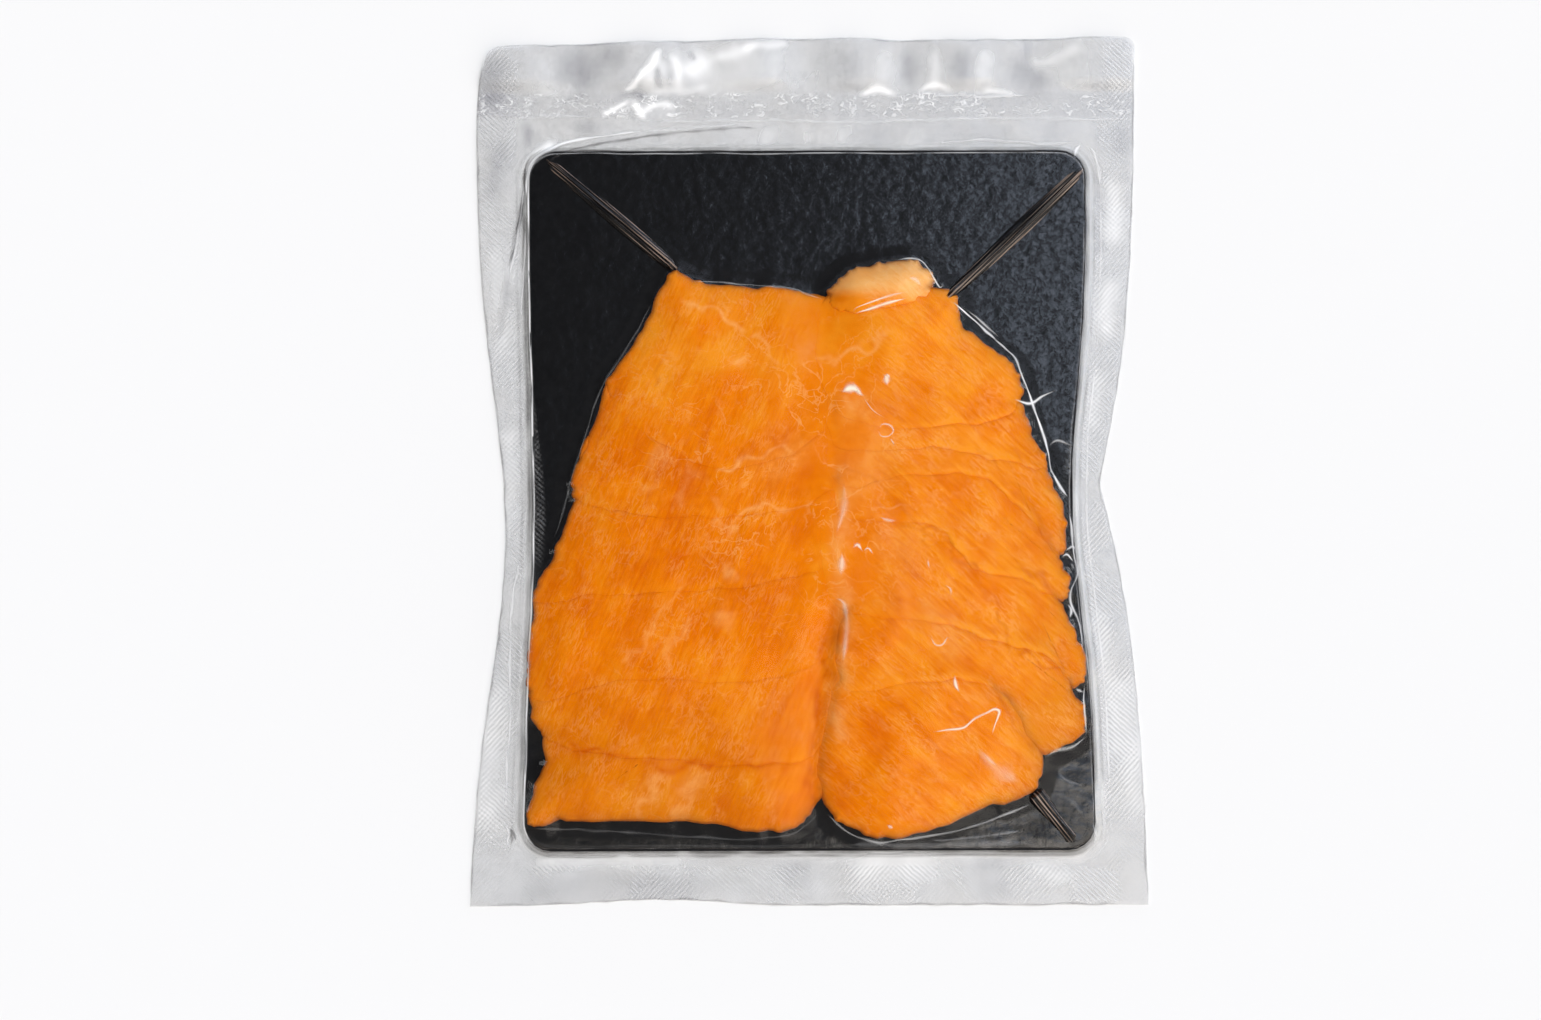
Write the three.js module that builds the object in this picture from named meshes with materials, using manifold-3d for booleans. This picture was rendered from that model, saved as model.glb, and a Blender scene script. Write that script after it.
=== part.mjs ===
// A flat vacuum pack of sliced smoked salmon: a clear pouch, sealed on four sides, drawn tight over a board
// that carries two rows of overlapping slices. Millimetres, +Z up, the header of the pouch towards +Y. The
// origin is the middle of the pouch's footprint, on the surface that the pack lies on.
import * as THREE from "three";
import { mergeVertices } from "three/addons/utils/BufferGeometryUtils.js";
import Module from "manifold-3d";

// ---- driving dimensions -------------------------------------------------------------------------------

const POUCH_WIDTH = 196;
const POUCH_LENGTH = 255;
const SEAL_BAND_TOP = 120; // the cross seal under the header ends here, above the middle of the board
const FILM = 0.65; // outer form above what the film lies on
const CLEARANCE = 0.3; // between the film and what it covers, and between two slices
const WAIST_LEFT = { depth: 9.6, at: -12, reach: 60, power: 2 }; // the flanks drawn in by the vacuum
const WAIST_RIGHT = { depth: 12.6, at: 4, reach: 44, power: 1.15 };
const CORNER_LEAN = { by: 3.4, from: 112, over: 24 }; // the upper left corner leans in towards the top
const EDGE_SAG = { corner: 3.2, from: -40, over: 58, wave: 1, pitch: 107, to: 90, fade: 60 }; // upper edge
const HEADER_WAVE = { rise: 1.5, pitch: 34, drift: 0.8, driftPitch: 145 }; // the header's two loose layers
const MARGIN_RIPPLE = { rise: 0.3, pitch: 38, slant: 40 };

const BOARD_WIDTH = 165;
const BOARD_LENGTH = 205;
const BOARD_THICKNESS = 1.4;
const BOARD_CORNER = 8;
const BOARD_SHIFT = -9.3; // the board lies nearer the lower seal than the header
const BOARD_WAIST_LEFT = { depth: 2.4, at: -7, reach: 60, power: 2 };
const BOARD_WAIST_RIGHT = { depth: 5.6, at: -1, reach: 45, power: 2 };
const BRIDGE = [2.4, 6]; // the film leaves the board's edge and lands on the lower film, mm outside it

const RIM = 1.9; // thickness of the outermost edge of a slice
const DOME = 7.6; // how much thicker the middle of the pile is
const DOME_REACH = 16; // over this distance in from the outline
const GROOVE = [[8, -30], [3, -56], [0, -90], [0, -97]]; // the valley between the two rows
const GROOVE_DEPTH = 1.8;
const GROOVE_WIDTH = 4;
const LIP = 0.9; // a slice's edge stands this far above the one it lies on
const LIP_REACH = 7;
const FOLD_RISE = 2.6; // the rolled end of the first slice
const TENT = 5.5; // the film reaches the board this far outside the salmon

const GRID = 5.5; // mesh step of the film and the fish
const OUTLINE_STEPS = 4; // straight pieces between two corner points of a slice

// Slices from the top of the pile down, each as the corner points of its outline, measured from the middle
// of the board. The part of a slice that shows is what the slices above it leave.
const SLICES = {
  slice_fold: [[6, 59], [12, 65.8], [22, 68.4], [32, 69], [37.5, 63], [33, 57.5], [20, 54], [9, 54]],
  slice_right_1: [[5, 58], [24, 61], [42.5, 60], [46, 49.5], [59, 39.5], [62.8, 32], [60, 24], [36, 19], [8, 24]],
  slice_right_2: [[46, 46], [61, 30], [65.5, 18], [69.8, 7.5], [58, 9], [36, 13], [8, 14], [8, 34]],
  slice_right_3: [[50, 34], [68.5, 9], [74, -3], [76.2, -20.5], [64, -8], [50, 4], [30, 5], [8, 3], [8, 24]],
  slice_right_4: [[56, 12], [75, -18], [76.5, -30.5], [62, -25.5], [46.5, -21.5], [37, -10.5], [8, -5], [14, 18]],
  slice_right_5: [[40, 0], [76, -25], [79, -44], [80.3, -55], [70, -48.5], [54, -43], [34, -37], [7, -32], [8, 0]],
  slice_right_6: [
    ...[[50, -30], [79, -44], [79.8, -61], [78.8, -69.5], [66.5, -75]],
    ...[[54, -57], [34, -54], [10, -56], [12, -30]],
  ],
  slice_right_7: [
    ...[[40, -44], [66, -72], [65.5, -84.5], [49, -91], [25, -99]],
    ...[[11, -95.6], [3.6, -87.5], [5, -62], [14, -46]],
  ],
  slice_left_1: [
    ...[[-39.5, 66], [-30, 62.6], [-8, 61], [10, 56], [14, 34]],
    ...[[0, 14.5], [-27, 7.5], [-58.5, 30.5], [-48.5, 48.5]],
  ],
  slice_left_2: [[-49.5, 44], [0, 40], [12, 8], [0, -3], [-22, -6.5], [-48, -6], [-68.7, 0.5], [-65, 14.5]],
  slice_left_3: [
    ...[[-62, 20], [0, 22], [11, -16], [-4, -24], [-32, -28]],
    ...[[-60, -29], [-80, -30.5], [-75.5, -20], [-68.2, -2]],
  ],
  slice_left_4: [
    ...[[-77, -24], [-40, 4], [9, -12], [6, -46], [-20, -54]],
    ...[[-50, -53], [-80, -59], [-81.5, -53], [-80.8, -42]],
  ],
  slice_left_5: [[-77, -40], [-30, -28], [8, -40], [3, -74], [-14, -78], [-46, -76], [-74, -71.5], [-79.8, -64]],
  slice_left_6: [
    ...[[-74, -62], [0, -58], [5, -76], [0.8, -91.6], [-8, -97]],
    ...[[-30, -94.6], [-70, -93.8], [-81, -94.6], [-76.8, -78]],
  ],
};

// Pinched ridges of film, from the corners of the salmon towards the corners of the board.
const RIDGES = [
  { from: [-76, 100], to: [-38.5, 65], height: 3.2 },
  { from: [82, 97.5], to: [41, 58.5], height: 3.2 },
  { from: [65.5, -85.5], to: [74.3, -100], height: 2.4 },
  { from: [-78.5, -93], to: [-82.5, -98.5], height: 1.6 },
];
const RIDGE_WIDTH = 3;
const RIDGE_FULL = [0.12, 0.9]; // a ridge has its full height between these shares of its length

// ---- outlines -----------------------------------------------------------------------------------------

const clamp = (t) => Math.min(1, Math.max(0, t));
const smooth = (t) => clamp(t) * clamp(t) * (3 - 2 * clamp(t));
const swell = (t, pitch) => 0.5 - 0.5 * Math.cos((2 * Math.PI * t) / pitch); // waves between 0 and 1
const drawnIn = (waist, y) => waist.depth * Math.exp(-(Math.abs((y - waist.at) / waist.reach) ** waist.power));

const pouchTop = POUCH_LENGTH / 2 - BOARD_SHIFT;
const pouchBottom = -POUCH_LENGTH / 2 - BOARD_SHIFT;
const boardEnd = BOARD_LENGTH / 2;

const boardLeft = (y) => -BOARD_WIDTH / 2 + drawnIn(BOARD_WAIST_LEFT, y);
const boardRight = (y) => BOARD_WIDTH / 2 - drawnIn(BOARD_WAIST_RIGHT, y);

const lean = (y) => CORNER_LEAN.by * clamp((y - CORNER_LEAN.from) / CORNER_LEAN.over) ** 2;
const pouchLeft = (y) => -POUCH_WIDTH / 2 + drawnIn(WAIST_LEFT, y) + lean(y);
const pouchRight = (y) => POUCH_WIDTH / 2 - drawnIn(WAIST_RIGHT, y);

// How far the upper edge lies below its highest point.
function edgeSag(x) {
  const corner = EDGE_SAG.corner * clamp((EDGE_SAG.from - x) / EDGE_SAG.over) ** 2;
  const wave = swell(x, EDGE_SAG.pitch) * clamp((EDGE_SAG.to - x) / EDGE_SAG.fade);
  return corner + EDGE_SAG.wave * wave;
}

// Signed distance outside the board's rounded outline.
function outsideBoard(x, y) {
  const middle = (boardLeft(y) + boardRight(y)) / 2;
  const half = (boardRight(y) - boardLeft(y)) / 2 - BOARD_CORNER;
  const dx = Math.abs(x - middle) - half;
  const dy = Math.abs(y) - (boardEnd - BOARD_CORNER);
  return Math.hypot(Math.max(dx, 0), Math.max(dy, 0)) + Math.min(Math.max(dx, dy), 0) - BOARD_CORNER;
}

// A closed, soft-cornered curve through the corner points, as a polygon.
function softOutline(corners) {
  const curve = new THREE.CatmullRomCurve3(
    corners.map(([x, y]) => new THREE.Vector3(x, y, 0)),
    true,
    "centripetal",
  );
  const points = curve.getPoints(corners.length * OUTLINE_STEPS).slice(0, -1);
  const ring = points.map((p) => new THREE.Vector2(p.x, p.y));
  return THREE.ShapeUtils.isClockWise(ring) ? ring.reverse() : ring;
}

// The same polygon moved outwards by a distance.
function outset(ring, distance) {
  return ring.map((p, i) => {
    const before = ring[(i + ring.length - 1) % ring.length];
    const after = ring[(i + 1) % ring.length];
    const along = after.clone().sub(before).normalize();
    return new THREE.Vector2(p.x + along.y * distance, p.y - along.x * distance);
  });
}

// Distance from the straight line between two points.
function fromLine(a, b, x, y) {
  const t = clamp(((x - a.x) * (b.x - a.x) + (y - a.y) * (b.y - a.y)) / a.distanceToSquared(b));
  return Math.hypot(x - a.x - t * (b.x - a.x), y - a.y - t * (b.y - a.y));
}

// Distance inside a polygon, negative outside.
function insideRing(ring, x, y) {
  let nearest = Infinity;
  let inside = false;
  for (let i = 0, j = ring.length - 1; i < ring.length; j = i++) {
    const a = ring[j];
    const b = ring[i];
    nearest = Math.min(nearest, fromLine(a, b, x, y));
    if (a.y > y !== b.y > y && x < ((b.x - a.x) * (y - a.y)) / (b.y - a.y) + a.x) inside = !inside;
  }
  return inside ? nearest : -nearest;
}

const slices = Object.entries(SLICES).map(([name, corners]) => ({ name, ring: softOutline(corners) }));

// The stretches of the slices' edges that no other slice covers, which together are the pile's own outline.
const openEdges = slices.flatMap((slice) =>
  slice.ring
    .map((a, i) => [a, slice.ring[(i + 1) % slice.ring.length]])
    .filter(([a, b]) =>
      slices.every((other) => other === slice || insideRing(other.ring, (a.x + b.x) / 2, (a.y + b.y) / 2) < 0.5),
    ),
);
const grooveLine = GROOVE.map(([x, y]) => new THREE.Vector2(x, y));

// ---- heights ------------------------------------------------------------------------------------------

// The height of what the film lies on: board, salmon with the raised edge of each slice, and the air beside.
function contentsHeight(x, y) {
  const depths = slices.map((slice) => insideRing(slice.ring, x, y));
  const base = BOARD_THICKNESS * clamp((BRIDGE[1] - outsideBoard(x, y)) / (BRIDGE[1] - BRIDGE[0]));
  const outside = -Math.max(...depths);
  if (outside > 0) return base + RIM * clamp(1 - outside / TENT) ** 2;
  const depth = Math.min(...openEdges.map(([a, b]) => fromLine(a, b, x, y)));
  const dome = DOME * (1 - Math.exp(-depth / DOME_REACH));
  const fromGroove = Math.min(...grooveLine.slice(1).map((b, i) => fromLine(grooveLine[i], b, x, y)));
  const groove = GROOVE_DEPTH * Math.exp(-((fromGroove / GROOVE_WIDTH) ** 2));
  const lip = LIP * Math.exp(-depths.find((d) => d > 0) / LIP_REACH);
  const roll = FOLD_RISE * Math.sin((Math.PI / 2) * clamp(depths[0] / 6));
  return base + RIM + dome - groove + lip + roll;
}

// The waves of the loose header and the faint ripple of the sealed margins.
function filmWave(x, y) {
  const drift = HEADER_WAVE.drift * Math.sin((2 * Math.PI * x) / HEADER_WAVE.driftPitch);
  const waves = swell(x + (drift * HEADER_WAVE.pitch) / (2 * Math.PI), HEADER_WAVE.pitch);
  const aboveSeal = smooth((y - SEAL_BAND_TOP) / GRID);
  const ripple = swell(y + (x * MARGIN_RIPPLE.pitch) / (2 * Math.PI * MARGIN_RIPPLE.slant), MARGIN_RIPPLE.pitch);
  const onMargin = clamp((outsideBoard(x, y) - BRIDGE[1]) / (GRID / 2));
  return HEADER_WAVE.rise * aboveSeal * waves + MARGIN_RIPPLE.rise * onMargin * ripple;
}

// ---- solids -------------------------------------------------------------------------------------------

const wasm = await Module();
wasm.setup();

function solidFrom(geometry) {
  const bare = geometry.index ? geometry.toNonIndexed() : geometry.clone();
  bare.deleteAttribute("normal");
  bare.deleteAttribute("uv");
  const merged = mergeVertices(bare, 1e-4);
  return new wasm.Manifold(
    new wasm.Mesh({
      numProp: 3,
      vertProperties: merged.attributes.position.array,
      triVerts: new Uint32Array(merged.index.array),
    }),
  );
}

function geometryFrom(solid) {
  const mesh = solid.getMesh();
  const geometry = new THREE.BufferGeometry();
  geometry.setAttribute("position", new THREE.BufferAttribute(mesh.vertProperties, 3));
  geometry.setIndex(new THREE.BufferAttribute(mesh.triVerts, 1));
  geometry.computeVertexNormals();
  return geometry;
}

function prism(ring, bottom, top) {
  const geometry = new THREE.ExtrudeGeometry(new THREE.Shape(ring), { depth: top - bottom, bevelEnabled: false });
  return solidFrom(geometry.translate(0, 0, bottom));
}

// Mesh lines across and along the pouch. Lines run along the board's edges, where the film bends.
function evenSteps(from, to, step) {
  const count = Math.max(1, Math.round(Math.abs(to - from) / step));
  return Array.from({ length: count }, (_, i) => from + ((to - from) * i) / count);
}

const columnsAt = (y) => {
  const [near, far] = BRIDGE;
  const left = boardLeft(y);
  const right = boardRight(y);
  const across = Math.round(BOARD_WIDTH / GRID);
  return [
    pouchLeft(y),
    (pouchLeft(y) + left - far) / 2,
    left - far,
    ...Array.from({ length: across + 1 }, (_, i) => left - near + ((right - left + 2 * near) * i) / across),
    right + far,
    (pouchRight(y) + right + far) / 2,
    pouchRight(y),
  ];
};

const rows = [
  ...evenSteps(pouchBottom, -boardEnd - BRIDGE[1], GRID),
  -boardEnd - BRIDGE[1],
  ...evenSteps(-boardEnd - BRIDGE[0], boardEnd + BRIDGE[0], GRID),
  boardEnd + BRIDGE[0],
  ...evenSteps(boardEnd + BRIDGE[1], pouchTop, GRID),
  pouchTop,
];

// A closed solid from a flat bottom up to a height given over the pouch's whole outline.
function underSurface(height, bottom) {
  const top = rows.map((y) =>
    columnsAt(y).map((x) => {
      const lowered = y - edgeSag(x) * smooth((y - SEAL_BAND_TOP) / (pouchTop - SEAL_BAND_TOP));
      return new THREE.Vector3(x, lowered, height(x, lowered));
    }),
  );
  const border = [
    ...top[0],
    ...top.slice(1).map((row) => row.at(-1)),
    ...top.at(-1).slice(0, -1).reverse(),
    ...top.slice(1, -1).map((row) => row[0]).reverse(),
  ];
  const floor = border.map((p) => new THREE.Vector3(p.x, p.y, bottom));
  const corners = [];
  for (let r = 1; r < top.length; r++)
    for (let c = 1; c < top[r].length; c++) {
      const [a, b, d, e] = [top[r - 1][c - 1], top[r - 1][c], top[r][c], top[r][c - 1]];
      corners.push(a, b, d, a, d, e);
    }
  border.forEach((p, i) => {
    const next = (i + 1) % border.length;
    corners.push(p, floor[i], floor[next], p, floor[next], border[next]);
  });
  for (const [a, b, c] of THREE.ShapeUtils.triangulateShape(border.map((p) => new THREE.Vector2(p.x, p.y)), []))
    corners.push(floor[a], floor[c], floor[b]);
  return solidFrom(new THREE.BufferGeometry().setFromPoints(corners));
}

// A ridge of film pinched up along a straight line, with a sharp back and ends that run out.
function ridge({ from, to, height }) {
  const start = new THREE.Vector2(...from);
  const end = new THREE.Vector2(...to);
  const side = end.clone().sub(start).normalize().rotateAround(new THREE.Vector2(), Math.PI / 2);
  const foot = BOARD_THICKNESS + (CLEARANCE + FILM) / 2;
  const at = (t, sideways, z) => {
    const p = start.clone().lerp(end, t).addScaledVector(side, sideways * (RIDGE_WIDTH / 2));
    return new THREE.Vector3(p.x, p.y, z);
  };
  const tips = [at(0, 0, foot), at(1, 0, foot)];
  const rings = RIDGE_FULL.map((t) => [at(t, -1, foot), at(t, 1, foot), at(t, 0, foot + height)]);
  const corners = [];
  for (let i = 0; i < 3; i++) {
    const j = (i + 1) % 3;
    corners.push(rings[0][j], rings[0][i], tips[0]);
    corners.push(rings[1][i], rings[1][j], tips[1]);
    corners.push(rings[0][i], rings[0][j], rings[1][i], rings[0][j], rings[1][j], rings[1][i]);
  }
  return solidFrom(new THREE.BufferGeometry().setFromPoints(corners));
}

function boardRing(distance) {
  const corner = BOARD_CORNER + distance;
  const inner = boardEnd - BOARD_CORNER;
  const sideSteps = evenSteps(-inner, inner, 4 * GRID);
  const arc = (cx, cy, from) =>
    Array.from({ length: 6 }, (_, i) => {
      const angle = from + ((Math.PI / 2) * i) / 5;
      return new THREE.Vector2(cx + corner * Math.cos(angle), cy + corner * Math.sin(angle));
    });
  const rightSide = sideSteps.slice(1).map((y) => new THREE.Vector2(boardRight(y) + distance, y));
  const leftSide = sideSteps.slice(1).map((y) => new THREE.Vector2(boardLeft(y) - distance, y)).reverse();
  return [
    ...arc(boardLeft(-inner) + BOARD_CORNER, -inner, Math.PI),
    ...arc(boardRight(-inner) - BOARD_CORNER, -inner, Math.PI * 1.5),
    ...rightSide,
    ...arc(boardRight(inner) - BOARD_CORNER, inner, 0),
    ...arc(boardLeft(inner) + BOARD_CORNER, inner, Math.PI / 2),
    ...leftSide,
  ];
}

const ABOVE_ALL = 40;
const BELOW_ALL = -2;

const board = prism(boardRing(0), 0, BOARD_THICKNESS);

function makeSlices() {
  const pile = underSurface(contentsHeight, BELOW_ALL);
  let above = null;
  return slices.map(({ name, ring }) => {
    let solid = pile.intersect(prism(ring, BOARD_THICKNESS, ABOVE_ALL));
    if (above) solid = solid.subtract(above);
    const cutter = prism(outset(ring, CLEARANCE), BELOW_ALL, ABOVE_ALL);
    above = above ? above.add(cutter) : cutter;
    const largest = solid.decompose().sort((a, b) => b.volume() - a.volume())[0];
    return { name, solid: largest };
  });
}

function makePouch() {
  const outer = underSurface((x, y) => contentsHeight(x, y) + FILM + filmWave(x, y), 0);
  const withRidges = RIDGES.map(ridge).reduce((body, solid) => body.add(solid), outer);
  const overSalmon = slices
    .map(({ ring }) => prism(outset(ring, CLEARANCE), BELOW_ALL, ABOVE_ALL))
    .reduce((all, solid) => all.add(solid));
  const salmonRoom = underSurface((x, y) => contentsHeight(x, y) + CLEARANCE, BELOW_ALL).intersect(overSalmon);
  const boardRoom = prism(boardRing(CLEARANCE), BELOW_ALL, BOARD_THICKNESS + CLEARANCE);
  return withRidges.subtract(salmonRoom).subtract(boardRoom);
}

// ---- the object ---------------------------------------------------------------------------------------

const SALMON = new THREE.MeshStandardMaterial({ color: 0xec7a0c, roughness: 0.4, metalness: 0 });
const PALE_SALMON = new THREE.MeshStandardMaterial({ color: 0xeba65c, roughness: 0.4, metalness: 0 });
const BOARD = new THREE.MeshStandardMaterial({ color: 0x222327, roughness: 0.35, metalness: 0 });
const CLEAR_FILM = new THREE.MeshStandardMaterial({
  color: 0xe4e5e6,
  roughness: 0.12,
  metalness: 0,
  transparent: true,
  opacity: 0.3,
});

const pack = new THREE.Group();
pack.position.set(0, BOARD_SHIFT, 0);

function addPiece(name, solid, material) {
  const mesh = new THREE.Mesh(geometryFrom(solid), material);
  mesh.name = name;
  pack.add(mesh);
}

addPiece("board", board, BOARD);
for (const { name, solid } of makeSlices()) addPiece(name, solid, name === "slice_fold" ? PALE_SALMON : SALMON);
addPiece("pouch", makePouch(), CLEAR_FILM);

export default pack;
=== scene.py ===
"""A flat vacuum pack of sliced smoked salmon: two rows of slices on a dark board, under clear film.

Lengths here are millimetres from the middle of the board, +Y towards the header. They become metres in the
model's own frame where a mesh is made.
"""
import math

import bmesh
import bpy
import numpy as np
from mathutils import Euler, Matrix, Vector


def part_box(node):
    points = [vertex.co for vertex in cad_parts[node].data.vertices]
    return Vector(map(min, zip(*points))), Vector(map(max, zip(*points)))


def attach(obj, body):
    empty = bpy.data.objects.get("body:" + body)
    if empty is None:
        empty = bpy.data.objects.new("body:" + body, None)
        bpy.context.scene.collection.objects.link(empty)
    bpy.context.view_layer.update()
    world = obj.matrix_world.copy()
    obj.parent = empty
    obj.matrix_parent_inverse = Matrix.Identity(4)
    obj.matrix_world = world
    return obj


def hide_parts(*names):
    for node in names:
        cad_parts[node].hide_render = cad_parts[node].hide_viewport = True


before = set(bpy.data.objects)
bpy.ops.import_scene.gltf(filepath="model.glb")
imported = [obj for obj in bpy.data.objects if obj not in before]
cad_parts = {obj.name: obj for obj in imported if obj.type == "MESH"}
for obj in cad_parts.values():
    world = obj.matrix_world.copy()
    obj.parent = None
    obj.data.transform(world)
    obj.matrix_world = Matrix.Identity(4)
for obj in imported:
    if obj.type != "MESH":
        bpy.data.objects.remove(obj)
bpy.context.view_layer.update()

MM = 0.001
BOARD_LOW, BOARD_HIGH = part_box("board")
BOARD_TOP = BOARD_HIGH.z / MM
BOARD_HALF = (BOARD_HIGH.y - BOARD_LOW.y) / 2 / MM
MIDDLE_Y = (BOARD_HIGH.y + BOARD_LOW.y) / 2 / MM  # of the board, in the model's frame
POUCH_LOW, POUCH_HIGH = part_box("pouch")
POUCH_TOP = POUCH_HIGH.y / MM - MIDDLE_Y
POUCH_BOTTOM = POUCH_LOW.y / MM - MIDDLE_Y

# ---- outlines -------------------------------------------------------------------------------------------

BOARD_WIDTH = 165
BOARD_CORNER = 8
POUCH_WIDTH = 196
POUCH_CORNER = 3
# The sides are drawn in at a waist: its depth, height and reach, and a power that is low for a sharp one.
WAIST_LEFT = dict(depth=9.6, at=-12, reach=60, power=2)
WAIST_RIGHT = dict(depth=12.6, at=4, reach=44, power=1.15)
BOARD_WAIST_LEFT = dict(depth=2.4, at=-7, reach=60, power=2)
BOARD_WAIST_RIGHT = dict(depth=5.6, at=-1, reach=45, power=2)
LEAN = dict(by=3.4, start=112, over=24)  # the pouch's upper left corner leans in
LOW_EDGE_RISE = 1.8  # the lower edge bends up by this much, left of its middle
SEAL_BAND = (113, 120)  # the cross seal lies between these heights
SEAL_WIDTH = 12

# Slices from the top of the pile down, as the corner points of their outlines.
SLICES = {
    "slice_fold": [(6, 59), (12, 65.8), (22, 68.4), (32, 69), (37.5, 63), (33, 57.5), (20, 54), (9, 54)],
    "slice_right_1": [
        (5, 58), (24, 61), (42.5, 60), (46, 49.5), (59, 39.5), (62.8, 32), (60, 24), (36, 19), (8, 24)],
    "slice_right_2": [(46, 46), (61, 30), (65.5, 18), (69.8, 7.5), (58, 9), (36, 13), (8, 14), (8, 34)],
    "slice_right_3": [
        (50, 34), (68.5, 9), (74, -3), (75, -14), (72.6, -18.5), (64, -8), (50, 4), (30, 5), (8, 3), (8, 24)],
    "slice_right_4": [
        (56, 12), (72.4, -17), (75.9, -26.5), (73.6, -31), (62, -25.5), (46.5, -21.5), (37, -10.5), (8, -5),
        (14, 18)],
    "slice_right_5": [
        (40, 0), (70, -24), (73.8, -33), (78.6, -43), (80.2, -52.5), (76, -56), (70, -48.5), (54, -43),
        (34, -37), (7, -32), (8, 0)],
    "slice_right_6": [
        (50, -30), (73, -44), (76.2, -56.5), (79.8, -63), (78.6, -69.5), (66.5, -74.5), (54, -57), (34, -54),
        (10, -56), (12, -30)],
    "slice_right_7": [
        (40, -44), (66, -72), (65.5, -84.5), (49, -91), (25, -99), (11, -95.6), (3.6, -87.5), (5, -62),
        (14, -46)],
    "slice_left_1": [
        (-39.5, 66), (-30, 62.6), (-8, 61), (10, 56), (14, 34), (0, 14.5), (-27, 7.5), (-58.5, 30.5),
        (-48.5, 48.5)],
    "slice_left_2": [
        (-49.5, 44), (0, 40), (12, 8), (0, -3), (-22, -6.5), (-48, -6), (-68.7, 0.5), (-65, 14.5)],
    "slice_left_3": [
        (-62, 20), (0, 22), (11, -16), (-4, -24), (-32, -28), (-60, -29), (-80, -30.5), (-75.5, -20),
        (-68.2, -2)],
    "slice_left_4": [
        (-77, -24), (-40, 4), (9, -12), (6, -46), (-20, -54), (-50, -53), (-80, -59), (-81.5, -53),
        (-80.8, -42)],
    "slice_left_5": [
        (-77, -40), (-30, -28), (8, -40), (3, -74), (-14, -78), (-46, -76), (-74, -71.5), (-79.8, -64)],
    "slice_left_6": [
        (-74, -62), (0, -58), (5, -76), (0.8, -91.6), (-8, -97), (-30, -94.6), (-70, -93.8), (-81, -94.6),
        (-76.8, -78)],
}

# ---- the pile -------------------------------------------------------------------------------------------

RIM = 1.9  # the pile's thickness at its outer edge
DOME = 7.6  # what its middle has over that
DOME_REACH = 16  # and the distance from the edge that this takes
LUMPS = 0.12  # unevenness of the pile
LIP = 0.35  # a slice stands up by this at its own edge
LIP_REACH = 4  # and that far into it
EDGE_ROUND = 1.2  # a slice's cut edge is rounded over this width
LEAST_STEP = {"slice_fold": 0.2, "slice_left_5": 0.8}  # share of its edge's step that a slice keeps
FOLD_RISE = 2.6  # of the rolled end over the pile
FISH_GAP = 0.02  # the fish lies this far over the board
COVER_DROP = 1.3  # a slice lies this much lower where another covers it
GROOVE = [(8, -30), (6, -37), (4, -45), (3, -56), (2, -67), (1, -78), (0, -90), (0, -97)]  # between the rows
GROOVE_DEPTH = 1.8
GROOVE_WIDTH = 4
HIGHEST_STEP = 12  # no step under the film is higher
FILM_GAP = 0.12
FILM_BEND = 5.0  # the film bridges a corner in a curve of this radius
TENT = 5.5  # and reaches the board this far outside the fish
FILM_LUMPS = 0.012  # the film's unevenness, and what it has over that on the fish and on the bare card
FISH_LUMPS = 0.008
CARD_LUMPS = 0.013

# Lines and patches given one by one, each as half width, strength and points. A strength below zero darkens.
PALE_TISSUE_AND_SHEEN = [  # connective tissue and fat in the flesh, and painted sheen of the film over it
    (0.7, 0.45, [(-37, 57), (-31, 54), (-25, 53), (-21, 50), (-18, 47)]),
    (0.6, 0.4, [(-17, 44), (-14, 46), (-11, 42), (-10, 38)]),
    (0.7, 0.45, [(-28, 5), (-26, 6.5), (-22, 7), (-17, 10), (-12, 12), (-7, 13), (-4, 11.5)]),
    (0.6, 0.35, [(-22, -8), (-17, -5), (-11, -4), (-4, -4), (1, -2)]),
    (0.6, 0.4, [(-28, -10), (-25, -8), (-23, -9), (-22, -12)]),
    (2.6, 0.32, [(-22, 36), (-20, 38), (-19, 36)]),
    (3.0, 0.32, [(-5, 41), (0, 41), (4, 40)]),
    (0.9, 0.4, [(2, 40), (9, 40), (15, 42), (20, 44), (23, 47)]),
    (1.6, 0.22, [(-42, 16), (-44, 7), (-46, -2)]),
    (1.6, 0.22, [(-33, 9), (-35, 2), (-37, -5)]),
    # painted sheen: the pale strip along the join of the rows, where the film's gloss lies
    (2.4, 0.28, [(10, 3), (10, -5), (9, -12), (9, -22), (10, -31), (11, -42), (10, -50), (8, -58)]),
    (2.8, 0.3, [(8, -59), (9, -68), (10, -74)]),
    (0.9, 0.24, [(-37, -24), (-39, -30), (-43, -36), (-47, -42), (-52, -49)]),
    (0.9, 0.2, [(-33, -34), (-37, -40), (-40, -46), (-42, -52)]),
    (1.9, 0.4, [(-25, -22), (-21, -23)]),
    (1.8, 0.3, [(-24, -32), (-25, -40)]),
    (2.0, 0.3, [(-42, -78), (-45, -84), (-50, -93)]),
    (2.0, 0.3, [(-30, -78), (-34, -85), (-38, -95)]),
    (2.4, 0.3, [(-27, -5), (-24, -2)]),
    (2.2, 0.35, [(9, 28), (13, 26), (18, 27)]),
    # from here on, broad painted sheen of the film over the flesh
    (6.0, 0.16, [(-14, 2), (-8, 10), (-2, 20)]),
    (5.0, 0.2, [(17, -10), (26, -16), (34, -22)]),
    (4.0, 0.22, [(34, -30), (39, -40), (42, -50)]),
    (7.0, 0.16, [(12, 34), (16, 24), (19, 12), (20, -3)]),
    (6.0, 0.12, [(20, -24), (28, -32), (33, -40)]),
    (5.0, 0.12, [(12, -8), (14, 4), (14, 16)]),
]
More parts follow.
